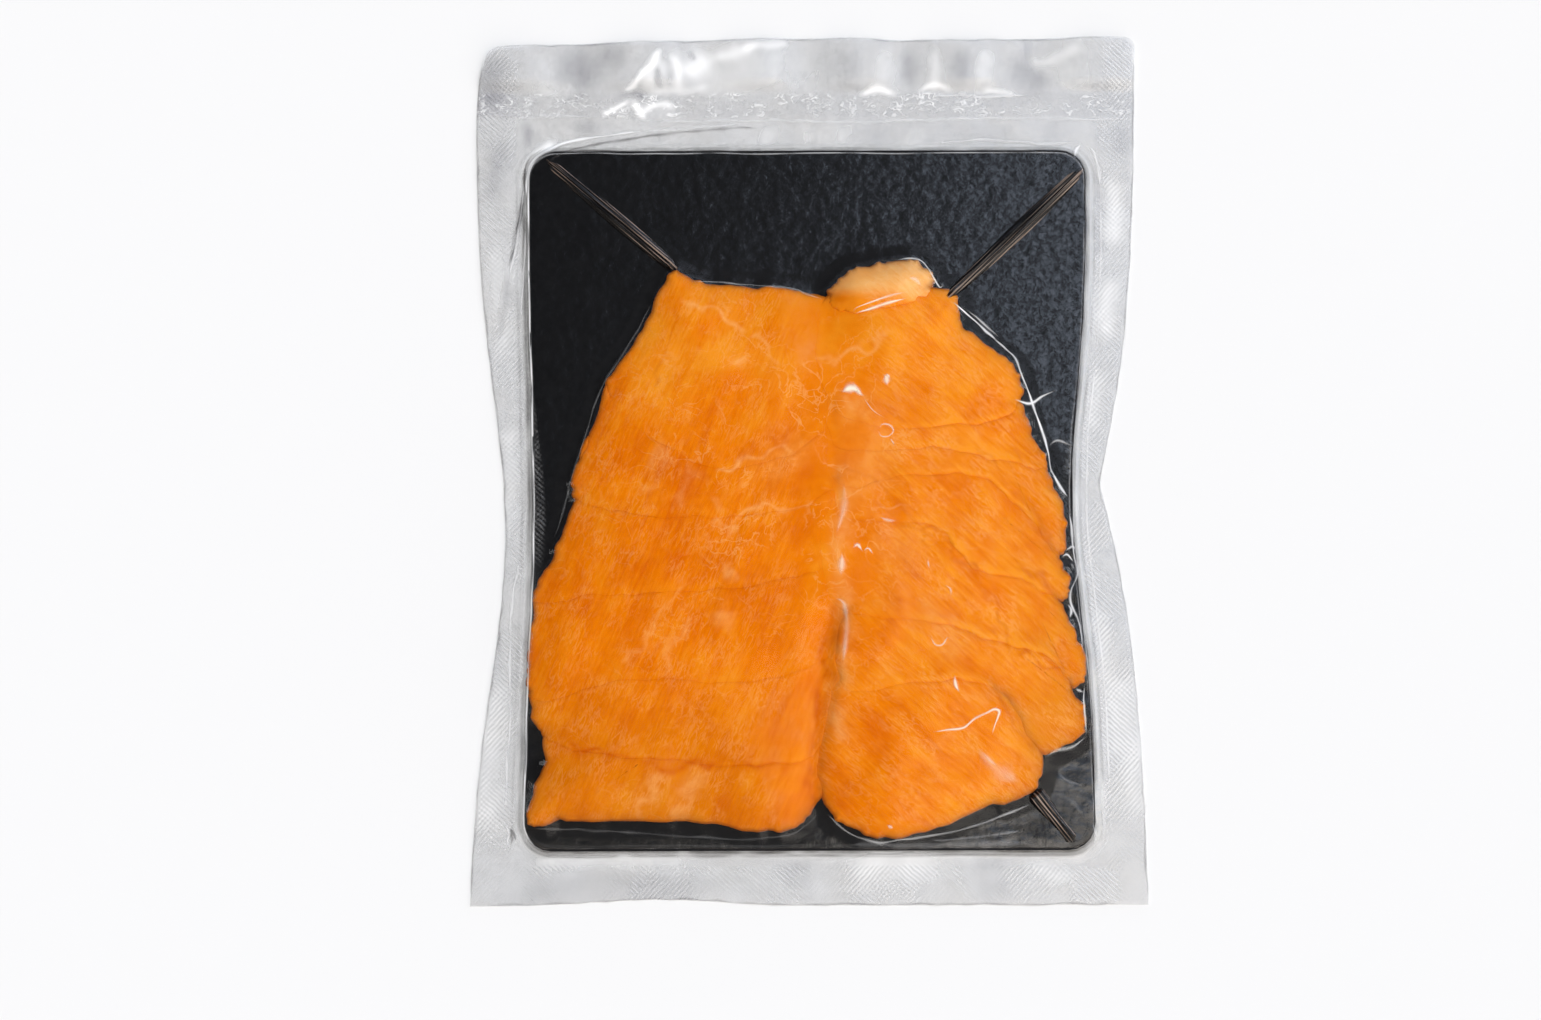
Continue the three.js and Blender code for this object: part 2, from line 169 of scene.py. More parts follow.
SEAM_SHADE_LINES = [  # painted shade where one slice dips under the next and in the groove between the rows, with a few broad darker patches
    (0.8, 0.4, [
        (-71, -72), (-60, -74), (-54, -75), (-45, -78), (-35, -78), (-25, -76.5), (-17, -77.5), (-1, -78)]),
    (1.8, 0.35, [(-71, -72), (-54, -75), (-45, -78), (-25, -76.5), (-1, -78)]),
    (1.2, 0.4, GROOVE[:-1]),
    (3.0, 0.35, GROOVE[2:-1]),
    (0.7, 0.6, [(37, -15), (42, -18), (46, -22), (50, -27)]),
    (0.7, 0.4, [(50, -27), (53, -32), (56, -40), (58, -46)]),
    (0.7, 0.55, [(60, -20), (67, -24), (70, -28), (74, -30), (77, -31)]),
    (0.7, 0.55, [(58, -45), (62, -46), (66, -49), (73, -51), (79, -54)]),
    (0.9, 0.5, [(51, -57), (54, -60), (60, -68), (64, -75)]),
    (0.8, 0.35, [(48, 15), (53, 9), (59, 2), (67, -8), (73, -19)]),
    (0.6, 0.3, [(10, 11), (21, 1), (34, -10)]),
    (0.5, 0.4, [(24, -8), (31, -11), (38, -14)]),
    (0.8, 0.4, [(33, 51), (38, 55), (42, 58)]),
    (0.5, 0.3, [(-39, 58), (-38, 51), (-40, 42), (-46, 30)]),
    (0.4, 0.4, [(-69, 1), (-66, 2), (-63, 0)]),
    (0.5, 0.5, [(-71, -59), (-72, -62), (-74, -64)]),
    (2.4, 0.3, [(48, -59), (54, -54), (56, -47)]),
    (8.0, 0.2, [(50, -8), (58, -16)]),
    (6.0, 0.18, [(-1, -40), (-4, -56), (-6, -72)]),
    (9.0, 0.16, [(-20, 34), (-6, 32)]),
    (0.5, 0.4, [(61, 25), (56, 27), (51, 28)]),
    (0.5, 0.35, [(68, 7), (62, 9), (57, 13)]),
]
CREASE_GLINTS_AND_SHADE = [  # fine lines of the film: painted highlights on its creases and wrinkles, and painted shade beside some of them
    # where the film meets the board beside the fish
    (0.4, 0.95, [(42, 57), (47, 53), (52, 49), (56, 45)]),
    (0.3, 0.8, [(54, 47), (58, 43), (61, 40), (63, 34), (65, 29)]),
    (0.35, 0.95, [(63.5, 33), (65, 29), (68, 20), (70, 12), (71, 7), (74, 3)]),
    (0.3, 0.4, [(46, 55.5), (52, 50.5), (57, 46)]),
    (0.4, 0.95, [(71, 7), (73, 3), (76, -1)]),
    (0.4, 0.75, [(60, 28), (65, 27), (69, 29), (73, 31)]),
    (0.5, 0.4, [(70, 14), (73, 16), (78, 14)]),
    (0.3, 0.7, [(76, -5), (77, -16), (78, -23), (76, -30), (79, -39), (79.5, -47)]),
    (0.3, 0.6, [(74, -17), (77, -15), (78, -17)]),
    (0.3, 0.6, [(79.5, -55), (79.5, -63), (80, -70)]),
    (0.35, 0.7, [(73.2, -18.5), (75.2, -17.4), (77.4, -19.8)]),
    (0.5, 0.4, [(76.2, -19.5), (77.4, -22)]),
    (0.35, 0.6, [(74.6, -31.5), (76.2, -33.5), (75.4, -36.5)]),
    (0.3, 0.6, [(76.6, -56.2), (79.6, -57.4)]),
    (0.45, 0.38, [(80, -70), (76, -73), (71, -74), (68, -76)]),
    (0.9, 0.12, [(12, -100.5), (30, -101.2), (48, -100.8), (64, -100)]),
    (0.4, 0.16, [(34, -99.6), (50, -98.8), (62, -96.5)]),
    (1.1, 0.06, [(70, -86), (75, -88), (79, -93)]),
    (0.5, 0.1, [(71, -80), (75, -83), (80, -84)]),
    (0.35, 0.7, [(26, 69), (29, 69.5), (33, 69), (35, 67), (37, 64), (39, 61), (40, 63)]),
    (0.25, 0.3, [(-34, 63), (-20, 62.5), (-5, 61), (0, 59), (5, 57.5)]),
    (0.3, 0.06, [(-80, -96), (-72, -96), (-54, -97), (-20, -99), (-6, -98), (-1, -95), (4, -91)]),
    (0.25, 0.1, [(-45.5, 57), (-50, 48.5), (-55.5, 39.5), (-60.5, 31), (-66.5, 13), (-70, 0), (-74, -13)]),
    (0.35, 0.3, [(5, -92), (12, -98), (20, -100), (29, -99), (43, -97), (55, -93), (64, -89)]),
    # gloss on the wrinkles over the fish
    (0.32, 0.8, [
        (35, -68.5), (40, -68), (44, -67), (47, -65), (51, -63), (53, -62), (54.5, -63), (53, -67),
        (52, -70)]),
    (1.0, 0.5, [(49.5, -74), (51.5, -76.5), (54, -78.5)]),
    (2.2, 0.25, [(48, -73), (52, -78), (60, -83)]),
    (0.35, 0.7, [(34.5, -41), (36, -43.5), (38, -43.5), (39.5, -41.5), (40.5, -42.5)]),
    (0.4, 0.8, [(41.5, -52), (41.8, -55), (43, -57.5)]),
    (0.35, 0.6, [(38.5, -26.5), (40.5, -27.5), (40.8, -30)]),
    (0.4, 0.6, [(34, -19), (34.5, -22)]),
    (0.6, 0.8, [(12.5, -16), (14, -15), (15.5, -17)]),
    (0.3, 0.6, [(15.5, -17), (17, -16), (18.5, -18)]),
    (0.8, 0.25, [(10, 3), (10.5, -2), (9.5, -7), (8, -12)]),
    (0.7, 0.3, [(7, -30.5), (9, -31), (10, -33), (10.5, -39), (9.5, -49)]),
    (1.0, 0.5, [(9.5, -17), (9.5, -20), (9, -24)]),
    (0.6, 0.6, [(20, -7), (23, -8), (25.5, -8)]),
    (0.35, 0.7, [(20.3, 18.3), (21.2, 19.8), (23.2, 19.6), (24.4, 18), (23, 16.5), (21, 16.6), (20.3, 18.3)]),
    (0.25, 0.5, [(23.5, 16), (25, 13.5)]),
    (1.2, 0.95, [(9.5, 29.2), (12.5, 30.4), (15, 29)]),
    (0.6, 0.8, [(13, 32.5), (13.4, 31), (15, 28.8), (16.5, 28)]),
    (0.7, 0.85, [(21.8, 34.5), (22.6, 33.4), (22.8, 31)]),
    (0.4, 0.6, [(22.5, 34.8), (23.8, 33.2)]),
    (0.3, 0.4, [(16, 28), (18.5, 24), (22.5, 21.5)]),
    (0.8, 0.8, [(22, -95), (24, -96)]),
    (0.35, 0.8, [(13.5, 52.6), (19, 54.2), (24, 55.7), (29, 57)]),
    (0.3, 0.75, [(13.5, 52.6), (14.2, 54.2), (19.5, 56.1), (24.5, 57.6), (29, 58.8)]),
    (0.6, 0.6, [(29, 63), (31.5, 62.5), (33.5, 60.5)]),
    # the film drawn in over the board's upper corners
    (0.5, 0.85, [
        (-82.8, 88), (-82.4, 95), (-80.4, 100.4), (-75, 104), (-67, 106.3), (-58, 107.7), (-49, 108.6)]),
    (0.35, -0.5, [(-83.6, 90), (-83.4, 96), (-81.6, 101), (-77, 104.4)]),
    (0.5, 0.45, [(-49, 108.6), (-40, 109.5), (-31, 110), (-20, 110.5)]),
    (0.4, -0.4, [(-76, 99.5), (-72, 102.3), (-66, 104.3), (-49, 107.2), (-31, 109), (-14, 110)]),
    (0.5, 0.5, [(38, 105), (53, 106), (60, 105.5), (72, 104.5), (80, 105.5)]),
    (0.6, 0.8, [(82, 105), (80, 103), (79, 100)]),
    (0.6, 0.6, [(83, 105), (85, 102), (86, 97), (87, 91)]),
    # the folded margins
    (0.35, 0.6, [(-83.3, 93), (-84.3, 84), (-86, 74), (-88, 64)]),
    (0.4, -0.25, [(-83.6, 91), (-86, 79), (-88.6, 67)]),
    (0.3, 0.5, [(-83.2, 80), (-83.6, 66), (-84, 52)]),
    (0.45, 0.5, [(-84, -18), (-86, -30), (-86.5, -45), (-86.5, -59), (-87, -73), (-87.5, -85), (-88, -94)]),
    (0.4, 0.6, [(-88, -94), (-86.5, -97), (-87, -100), (-86, -102)]),
    (0.4, 0.5, [(-86, -95), (-84.5, -98.5), (-85, -101.5)]),
    (0.35, -0.4, [(-86.5, -95), (-85.5, -98), (-86.5, -101.5)]),
    (0.4, 0.6, [(84, -90), (85, -95), (84, -100)]),
    (0.4, 0.4, [(81.5, -94.5), (82.5, -98.5), (81.5, -103)]),
    # the cross seal's borders
    (0.5, 0.3, [(-96, 114), (-82, 113), (-73, 113.5), (-61, 113)]),
    (0.5, 0.35, [
        (-45, 112), (-25, 112), (-5, 112), (16, 111.5), (37, 112), (57, 112.5), (81, 112), (96, 112)]),
    (0.5, 0.5, [(37, 119), (41, 119.5), (53, 119), (60, 119.5), (66, 119.5)]),
    (0.6, 0.6, [(33, 119), (35, 120), (37.5, 120), (38.5, 119)]),
    (0.5, 0.6, [(44, 119.5), (46, 120), (48.5, 119.5)]),
]
SHEEN = [  # broad soft light and shade in the loose and folded film
    # the bright folds at the left of the header
    (1.0, 0.7, [(-55, 120), (-51.5, 122.5), (-48.5, 125.5), (-45.5, 129.5), (-42.5, 133.5)]),
    (3.4, 0.65, [(-50, 122), (-45.5, 126), (-41.5, 131)]),
    (1.6, 0.6, [(-40, 134), (-38.5, 128), (-37.5, 120.5)]),
    (4.4, 0.75, [(-37, 123), (-33, 128), (-27, 132)]),
    (2.6, 0.6, [(-30, 131), (-22, 132.5), (-13, 134)]),
    (1.4, 0.4, [(-20, 134), (-12, 134.5), (-4, 135)]),
    (5.5, 0.28, [(-34, 122), (-26, 124), (-18, 128), (-12, 132)]),
    (1.4, 0.4, [(-47, 120.5), (-41, 121), (-33, 121), (-28, 123)]),
    (0.9, -0.6, [(-45, 129), (-44, 125), (-42.5, 121.5)]),
    (0.8, -0.4, [(-35, 133), (-33, 130)]),
    (9.0, 0.18, [(-30, 122), (-16, 125), (-2, 127), (8, 126)]),
    (0.8, 0.7, [(-61, 113.5), (-57, 115.5), (-54, 117.5), (-52, 119)]),
    (0.8, 0.8, [(-52, 119), (-50, 116), (-48.5, 113.5), (-47.5, 111.5)]),
    (0.9, 0.6, [(-49, 114), (-46, 116.5), (-42, 117), (-38, 116)]),
    (0.8, -0.6, [(-56, 119.5), (-53, 120.5), (-47, 119.5)]),
    (0.8, -0.5, [(-52.5, 116.5), (-51.5, 113.5), (-50, 111)]),
    (3.4, 0.3, [(-62, 116), (-50, 115), (-36, 115)]),
    # the rest of the header
    (6.0, -0.4, [(-95, 134), (-94, 124), (-95, 112)]),
    (7.0, -0.5, [(-76, 130), (-66, 127), (-60, 124)]),
    (4.0, -0.4, [(-62, 133), (-52, 131)]),
    (3.0, 0.22, [(-82, 130), (-78, 127), (-76, 122)]),
    (1.4, 0.22, [(-70, 124), (-72, 121)]),
    (2.2, 0.3, [(-82, 121.5), (-76, 121), (-70, 121)]),
    (3.4, 0.35, [(24, 135), (23, 127), (21, 120)]),
    (1.2, 0.8, [(15, 119.3), (19, 121), (23, 120.8), (27, 119.3)]),
    (2.2, 0.5, [(38, 135), (38, 127), (37, 120)]),
    (1.0, 0.6, [(33, 120), (36, 122), (40, 122), (43, 120)]),
    (3.0, 0.4, [(53, 135), (53, 127), (54, 120)]),
    (1.1, 0.6, [(51, 120.5), (57, 120.2), (63, 119.6)]),
    (2.0, 0.45, [(65, 132), (69, 129), (75, 131), (83, 135)]),
    (4.0, 0.25, [(82, 131), (78, 126.5), (72, 123)]),
    (3.6, -0.3, [(12, 135), (13, 121)]),
    (3.0, -0.4, [(30, 135), (31, 121)]),
    (3.0, -0.4, [(46, 135), (46.5, 121)]),
    (4.5, -0.45, [(62, 134), (66, 125), (75, 121.5)]),
    (2.4, 0.3, [(-11, 111), (-13, 103)]),
    (2.0, 0.25, [(0.5, 111), (0, 103)]),
    (2.2, 0.35, [(11, 111), (10, 104)]),
    (2.2, 0.3, [(33, 110), (31, 103)]),
    (3.0, 0.25, [(60, 109), (72, 108)]),
    (2.4, -0.35, [(-61, 111), (-70, 108.5)]),
    (4.0, -0.14, [(14, 107.5), (50, 107.5), (82, 108)]),
    # the left margin
    (1.4, 0.9, [(-83.5, 95), (-81.3, 100.5), (-77.5, 104), (-73, 106)]),
    (1.4, -0.4, [(-82.5, 112), (-83, 103)]),
    (1.2, -0.5, [(-83, 90), (-86, 74), (-89, 58), (-91, 46)]),
    (1.6, 0.5, [(-84.5, 82), (-86, 72), (-87.5, 62)]),
    (1.0, -0.4, [(-82.8, 84), (-83.2, 70), (-83.4, 52)]),
    (3.5, -0.3, [(-90, 108), (-92, 96), (-93, 86)]),
    (3.0, 0.35, [(-92, 76), (-91, 60), (-89, 40)]),
    (2.5, 0.35, [(-88, 22), (-87, 4), (-88, -12)]),
    (2.6, -0.25, [(-90, -18), (-92, -42), (-92.5, -60)]),
    (5.0, 0.4, [(-92, -50), (-93, -76), (-94, -99)]),
    # the right margin
    (3.2, 0.6, [(90, 96), (91, 84), (90, 72)]),
    (3.0, 0.6, [(90, 66), (88.5, 56), (87, 44)]),
    (1.4, -0.3, [(86, 98), (86.5, 84), (86, 70)]),
    (3.0, -0.25, [(93, 112), (94, 100)]),
    (2.4, 0.35, [(86, 38), (84, 28), (83, 18)]),
    (2.6, 0.3, [(85, -31), (87, -54), (88, -77)]),
    (4.0, 0.4, [(91, -50), (93, -74), (94, -96)]),
    # the lower margin
    (3.0, 0.35, [(-80, -106), (-54, -105), (-34, -105.5)]),
    (5.0, 0.5, [(10, -109), (24, -106.5), (40, -108)]),
    (3.0, 0.4, [(62, -107), (70, -109), (76, -113)]),
    (3.0, -0.25, [(46, -106), (58, -105)]),
    (5.0, -0.2, [(-84, -113), (-54, -112), (-30, -113)]),
    (5.0, -0.2, [(-8, -107), (2, -111)]),
    (4.0, -0.2, [(46, -114), (60, -113)]),
]
FOLDS = [  # film pinched from the fish out to the board's corners: from, to, height, width
    ((-38.3, 66.8), (-77.0, 99.9), 3.0, 4.8),
    ((41, 58), (81.8, 97.0), 3.0, 4.8),
    ((64.8, -86), (76.2, -100.2), 2.4, 5.4),
]

# ---- height maps ----------------------------------------------------------------------------------------

STEP = 0.5
MAP_X = np.arange(-100, 100 + STEP, STEP)
MAP_Y = np.arange(-121, 139 + STEP, STEP)
GX, GY = np.meshgrid(MAP_X, MAP_Y)


def smooth(t):
    t = np.clip(t, 0, 1)
    return t * t * (3 - 2 * t)


def drawn_in(waist, y):
    return waist["depth"] * np.exp(-(np.abs((y - waist["at"]) / waist["reach"]) ** waist["power"]))


def board_left(y):
    return -BOARD_WIDTH / 2 + drawn_in(BOARD_WAIST_LEFT, y)


def board_right(y):
    return BOARD_WIDTH / 2 - drawn_in(BOARD_WAIST_RIGHT, y)


def rounded_top(y):
    """How far the pouch's sides step in at its rounded upper corners."""
    above = np.clip(y - (POUCH_TOP - POUCH_CORNER), 0, POUCH_CORNER)
    return POUCH_CORNER - np.sqrt(POUCH_CORNER**2 - above**2)


def pouch_left(y):
    lean = LEAN["by"] * np.clip((y - LEAN["start"]) / LEAN["over"], 0, 1) ** 2
    return -POUCH_WIDTH / 2 + drawn_in(WAIST_LEFT, y) + lean + rounded_top(y)


def pouch_right(y):
    return POUCH_WIDTH / 2 - drawn_in(WAIST_RIGHT, y) - rounded_top(y)


def outside_board(x, y):
    """Signed distance outside the board's rounded outline."""
    middle = (board_left(y) + board_right(y)) / 2
    half = (board_right(y) - board_left(y)) / 2 - BOARD_CORNER
    dx = np.abs(x - middle) - half
    dy = np.abs(y) - (BOARD_HALF - BOARD_CORNER)
    return np.hypot(np.maximum(dx, 0), np.maximum(dy, 0)) + np.minimum(np.maximum(dx, dy), 0) - BOARD_CORNER


def right_of(way):
    """The unit normals to the right of each direction."""
    return np.stack([way[:, 1], -way[:, 0]], 1) / np.hypot(*way.T)[:, None]


def point_at(place, places, points):
    """The x and y at places along a line whose points lie at the given places."""
    return np.interp(place, places, points[:, 0]), np.interp(place, places, points[:, 1])


def to_stretch(x, y, a, b):
    """Squared distance to the stretch from a to b, and the share of its length at which it is nearest."""
    (ax, ay), (bx, by) = a, b
    ex, ey = bx - ax, by - ay
    t = np.clip(((x - ax) * ex + (y - ay) * ey) / (ex * ex + ey * ey), 0, 1)
    return (x - ax - t * ex) ** 2 + (y - ay - t * ey) ** 2, t


def soft_ring(corners, steps=14):
    """A closed centripetal curve through the corner points, as an array of points turning left."""
    p = np.array(corners, float)
    if np.sum(p[:, 0] * np.roll(p[:, 1], -1) - np.roll(p[:, 0], -1) * p[:, 1]) < 0:
        p = p[::-1]
    ring = []
    for i in range(len(p)):
        p0, p1, p2, p3 = (p[(i + k - 1) % len(p)] for k in range(4))
        t1 = np.linalg.norm(p1 - p0) ** 0.5
        t2 = t1 + np.linalg.norm(p2 - p1) ** 0.5
        t3 = t2 + np.linalg.norm(p3 - p2) ** 0.5
        for t in np.linspace(t1, t2, steps, endpoint=False):
            a1 = (t1 - t) / t1 * p0 + t / t1 * p1
            a2 = (t2 - t) / (t2 - t1) * p1 + (t - t1) / (t2 - t1) * p2
            a3 = (t3 - t) / (t3 - t2) * p2 + (t - t2) / (t3 - t2) * p3
            b1 = (t2 - t) / t2 * a1 + t / t2 * a2
            b2 = (t3 - t) / (t3 - t1) * a2 + (t - t1) / (t3 - t1) * a3
            ring.append((t2 - t) / (t2 - t1) * b1 + (t - t1) / (t2 - t1) * b2)
    return np.array(ring)


def frilled(ring, seed, depth=0.5):
    """The ring with the small uneven frill of a cut edge."""
    rng = np.random.default_rng(seed)
    along = np.linspace(0, 2 * math.pi, len(ring), endpoint=False)
    frill = sum(
        math.sqrt(9 / n) * np.sin(n * along + rng.uniform(0, 2 * math.pi)) for n in (9, 14, 19, 27, 37))
    outward = right_of(np.roll(ring, -1, 0) - np.roll(ring, 1, 0))
    return ring + outward * (frill * depth / 2)[:, None]


def softened(points, steps=5):
    """A smooth open curve through the points."""
    p = np.array(points, float)
    if len(p) < 3:
        return p
    ends = np.vstack([2 * p[0] - p[1], p, 2 * p[-1] - p[-2]])
    t = np.linspace(0, 1, steps, endpoint=False)[:, None]
    runs = []
    for a, b, c, d in zip(ends, ends[1:], ends[2:], ends[3:]):
        bend = t**2 * (2 * a - 5 * b + 4 * c - d) / 2 + t**3 * (3 * b - a - 3 * c + d) / 2
        runs.append(b + t * (c - a) / 2 + bend)
    return np.vstack(runs + [p[-1:]])


def lengths_along(line):
    return np.concatenate([[0], np.cumsum(np.linalg.norm(np.diff(line, axis=0), axis=1))])


def along_line(points, x, y, width):
    """Nearness to a soft line through the points: 1 on it, fading over the width and at its ends."""
    p = softened(points)
    length = lengths_along(p)
    low, high = p.min(0) - 3 * width, p.max(0) + 3 * width
    near = np.nonzero((x > low[0]) & (x < high[0]) & (y > low[1]) & (y < high[1]))
    px, py = x[near], y[near]
    best, place = np.full(px.shape, 1e9), np.zeros(px.shape)
    for a, b, start, stop in zip(p, p[1:], length, length[1:]):
        d, t = to_stretch(px, py, a, b)
        place = np.where(d < best, start + t * (stop - start), place)
        best = np.minimum(best, d)
    fade = min(2 + 1.5 * width, length[-1] * 0.45)
    ends = smooth(0.15 + place / fade) * smooth(0.15 + (length[-1] - place) / fade)
    out = np.zeros(x.shape)
    out[near] = np.exp(-best / width**2) * ends
    return out


def drawn_lines(lines, x, y):
    return sum(strength * along_line(points, x, y, width) for width, strength, points in lines)


def inside_ring(ring, reach=12):
    """Map of the distance inside a ring, negative outside, exact to a reach beyond it."""
    low, high = ring.min(0) - reach, ring.max(0) + reach
    cols = slice(*np.searchsorted(MAP_X, (low[0], high[0])))
    rows = slice(*np.searchsorted(MAP_Y, (low[1], high[1])))
    x, y = GX[rows, cols], GY[rows, cols]
    nearest = np.full(x.shape, 1e9)
    inside = np.zeros(x.shape, bool)
    for a, b in zip(ring, np.roll(ring, -1, 0)):
        (ax, ay), (bx, by) = a, b
        nearest = np.minimum(nearest, to_stretch(x, y, a, b)[0])
        if ay != by:
            inside ^= ((ay > y) != (by > y)) & (x < (bx - ax) * (y - ay) / (by - ay) + ax)
    out = np.full(GX.shape, -float(reach))
    out[rows, cols] = np.where(inside, 1, -1) * np.sqrt(nearest)
    return out


def distance_within(mask):
    """Map of the distance from each spot of a mask to the nearest spot outside it."""
    squares = np.where(mask, 1e6, 0.0)
    steps = (np.arange(1, 90) * STEP) ** 2
    for axis in (0, 1):
        nearest = squares.copy()
        for i, far in enumerate(steps, 1):
            for shift in (-i, i):
                nearest = np.minimum(nearest, np.roll(squares, shift, axis) + far)
        squares = nearest
    return np.sqrt(squares)


def frequencies(shape):
    return np.fft.fftfreq(shape[0], STEP)[:, None], np.fft.rfftfreq(shape[1], STEP)[None, :]


def relief(seed, across, along=None, angle=0.0, finest=0.35):
    """Random smooth relief of deviation 1 over the maps, with grains of the given width and length."""
    along = along or across
    white = np.random.default_rng(seed).standard_normal(GX.shape)
    fy, fx = frequencies(GX.shape)
    u = (fx * math.cos(angle) + fy * math.sin(angle)) * along
    v = (-fx * math.sin(angle) + fy * math.cos(angle)) * across
    k = np.sqrt(u * u + v * v)
    shaped = np.fft.rfft2(white) * np.exp(-((k / 0.7) ** 2)) * (1 - np.exp(-((k / finest) ** 2)))
    out = np.fft.irfft2(shaped, GX.shape)
    return out / out.std()


def sample(field, x, y):
    """The map's value at points, in between by straight lines."""
    cx = np.clip((x - MAP_X[0]) / STEP, 0, len(MAP_X) - 1.001)
    cy = np.clip((y - MAP_Y[0]) / STEP, 0, len(MAP_Y) - 1.001)
    i, j = cx.astype(int), cy.astype(int)
    s, t = cx - i, cy - j
    lower = field[j, i] * (1 - s) + field[j, i + 1] * s
    upper = field[j + 1, i] * (1 - s) + field[j + 1, i + 1] * s
    return lower * (1 - t) + upper * t


def rolled_over(height, radius):
    """The height map as far as a ball of that radius, rolling over it, can feel it; film bridges the rest."""
    reach = int(math.sqrt(2 * radius * HIGHEST_STEP) / STEP)
    for grow in (True, False):
        for axis in (0, 1):
            pads = [(reach, reach) if a == axis else (0, 0) for a in (0, 1)]
            padded = np.pad(height, pads, mode="edge")
            best = None
            for s in range(-reach, reach + 1):
                part = np.take(padded, range(reach + s, reach + s + height.shape[axis]), axis)
                bowl = (s * STEP) ** 2 / (2 * radius)
                part = part - bowl if grow else part + bowl
                if best is None:
                    best = part
                else:
                    best = np.maximum(best, part) if grow else np.minimum(best, part)
            height = best
    return height


def blurred(field, width):
    fy, fx = frequencies(field.shape)
    fade = np.exp(-2 * (math.pi * width) ** 2 * (fx**2 + fy**2))
    return np.fft.irfft2(np.fft.rfft2(field) * fade, field.shape)


rings = {name: frilled(soft_ring(c), i) for i, (name, c) in enumerate(SLICES.items())}
depths = {name: inside_ring(ring) for name, ring in rings.items()}
pile_depth = np.max(list(depths.values()), 0)
board_out = outside_board(GX, GY)

FIBRE_LEFT = math.radians(66)
FIBRE_RIGHT = math.radians(-42)
deep_inside = blurred(distance_within(pile_depth > 0), 2.0)
near_edge = 1 - smooth((deep_inside - 1) / 3)
soft_depth = np.maximum(pile_depth, 0) * near_edge + deep_inside * (1 - near_edge)
warp_x, warp_y = relief(19, 5), relief(20, 5)
groove_shape = GROOVE_DEPTH * along_line(GROOVE, GX, GY, GROOVE_WIDTH)
soft_lumps = LUMPS * relief(13, 12) * smooth(soft_depth / 8) - groove_shape
patches = relief(14, 13) * 0.6 + relief(15, 5, 12, FIBRE_LEFT) * 0.4


def cover_of(name):
    """Distance inside the slices that lie over this one."""
    above = list(SLICES)[: list(SLICES).index(name)]
    return np.max([depths[n] for n in above], 0) if above else np.full(GX.shape, -9.0)


cover_maps = {name: cover_of(name) for name in SLICES}


def step_of(name):
    """How much of a step a slice's edge makes: little in the left row and where the two rows melt."""
    outer = 1 - smooth((soft_depth - 1.5) / 2)
    if name in LEAST_STEP:
        return np.maximum(outer, LEAST_STEP[name])
    if "left" in name:
        return outer
    melted = smooth((GY + 40) / 24) * smooth((34 - GX) / 16)
    inner = 0.25 + 0.55 * smooth((GX - 24) / 26)
    return np.maximum(outer, inner * (1 - melted))


def slice_top(name):
    """Height map of one slice's upper face."""
    depth = depths[name]
    step = step_of(name)
    top = BOARD_TOP + RIM + DOME * (1 - np.exp(-soft_depth / DOME_REACH)) + soft_lumps
    top = top + LIP * step * np.exp(-np.maximum(depth, 0) / LIP_REACH)
    if name == "slice_fold":
        rolled = blurred(np.sin(np.pi / 2 * np.clip(depth / 5, 0, 1)), 1.6)
        top = top + FOLD_RISE * rolled
    short = np.clip(1 - depth / EDGE_ROUND, 0, 1)
    top = top - EDGE_ROUND * step * (1 - np.sqrt(1 - short**2))
    return top - COVER_DROP * smooth(cover_maps[name] / 1.5)


tops = {name: slice_top(name) for name in SLICES}
contents = np.where(board_out < 0, BOARD_TOP, 0.0)
for slice_name, top_map in tops.items():
    contents = np.where(depths[slice_name] > 0, np.maximum(contents, top_map), contents)
wet = smooth(pile_depth / 1.5 + 0.5)
over_card = (1 - wet) * (board_out < 0)
film_map = blurred(rolled_over(contents, FILM_BEND), 0.6) + FILM_GAP
film_map += FILM_LUMPS * relief(17, 7)
film_map += FISH_LUMPS * relief(18, 2.6) * wet + CARD_LUMPS * relief(16, 2.2) * over_card

# ---- meshes ---------------------------------------------------------------------------------------------


def to_metres(x, y, z):
    return (np.stack([x, y + MIDDLE_Y, z], 1) * MM).ravel()


def grid_mesh(name, across, along, place):
    """A sheet made from a square grid; place sends its u and v, -1 to 1, to x, y and z in millimetres."""
    bm = bmesh.new()
    bmesh.ops.create_grid(bm, x_segments=across, y_segments=along, size=1)
    mesh = bpy.data.meshes.new(name)
    bm.to_mesh(mesh)
    bm.free()
    flat = np.empty(len(mesh.vertices) * 3)
    mesh.vertices.foreach_get("co", flat)
    u, v = flat.reshape(-1, 3)[:, 0], flat.reshape(-1, 3)[:, 1]
    mesh.vertices.foreach_set("co", to_metres(*place(u, v)))
    mesh.update()
    mesh.shade_smooth()
    return mesh


def grid_uv(across, along):
    """The u and v of a grid mesh's vertices, in their order."""
    u, v = np.meshgrid(np.linspace(-1, 1, across + 1), np.linspace(-1, 1, along + 1))
    return u.ravel(), v.ravel()


def spots(mesh):
    """The x and y of a mesh's vertices in millimetres."""
    flat = np.empty(len(mesh.vertices) * 3)
    mesh.vertices.foreach_get("co", flat)
    return flat[0::3] / MM, flat[1::3] / MM - MIDDLE_Y


def mark(mesh, **values):
    for key, value in values.items():
        layer = mesh.attributes.new(key, "FLOAT", "POINT")
        layer.data.foreach_set("value", np.asarray(value, np.float32))


UV_UNIT = 10  # millimetres in one unit of a UV map


def lay_uv(mesh, u, v):
    """A UV map from one pair of values per vertex."""
    corner = np.empty(len(mesh.loops), int)
    mesh.loops.foreach_get("vertex_index", corner)
    mesh.uv_layers.new(name="UVMap").data.foreach_set("uv", np.stack([u[corner], v[corner]], 1).ravel())


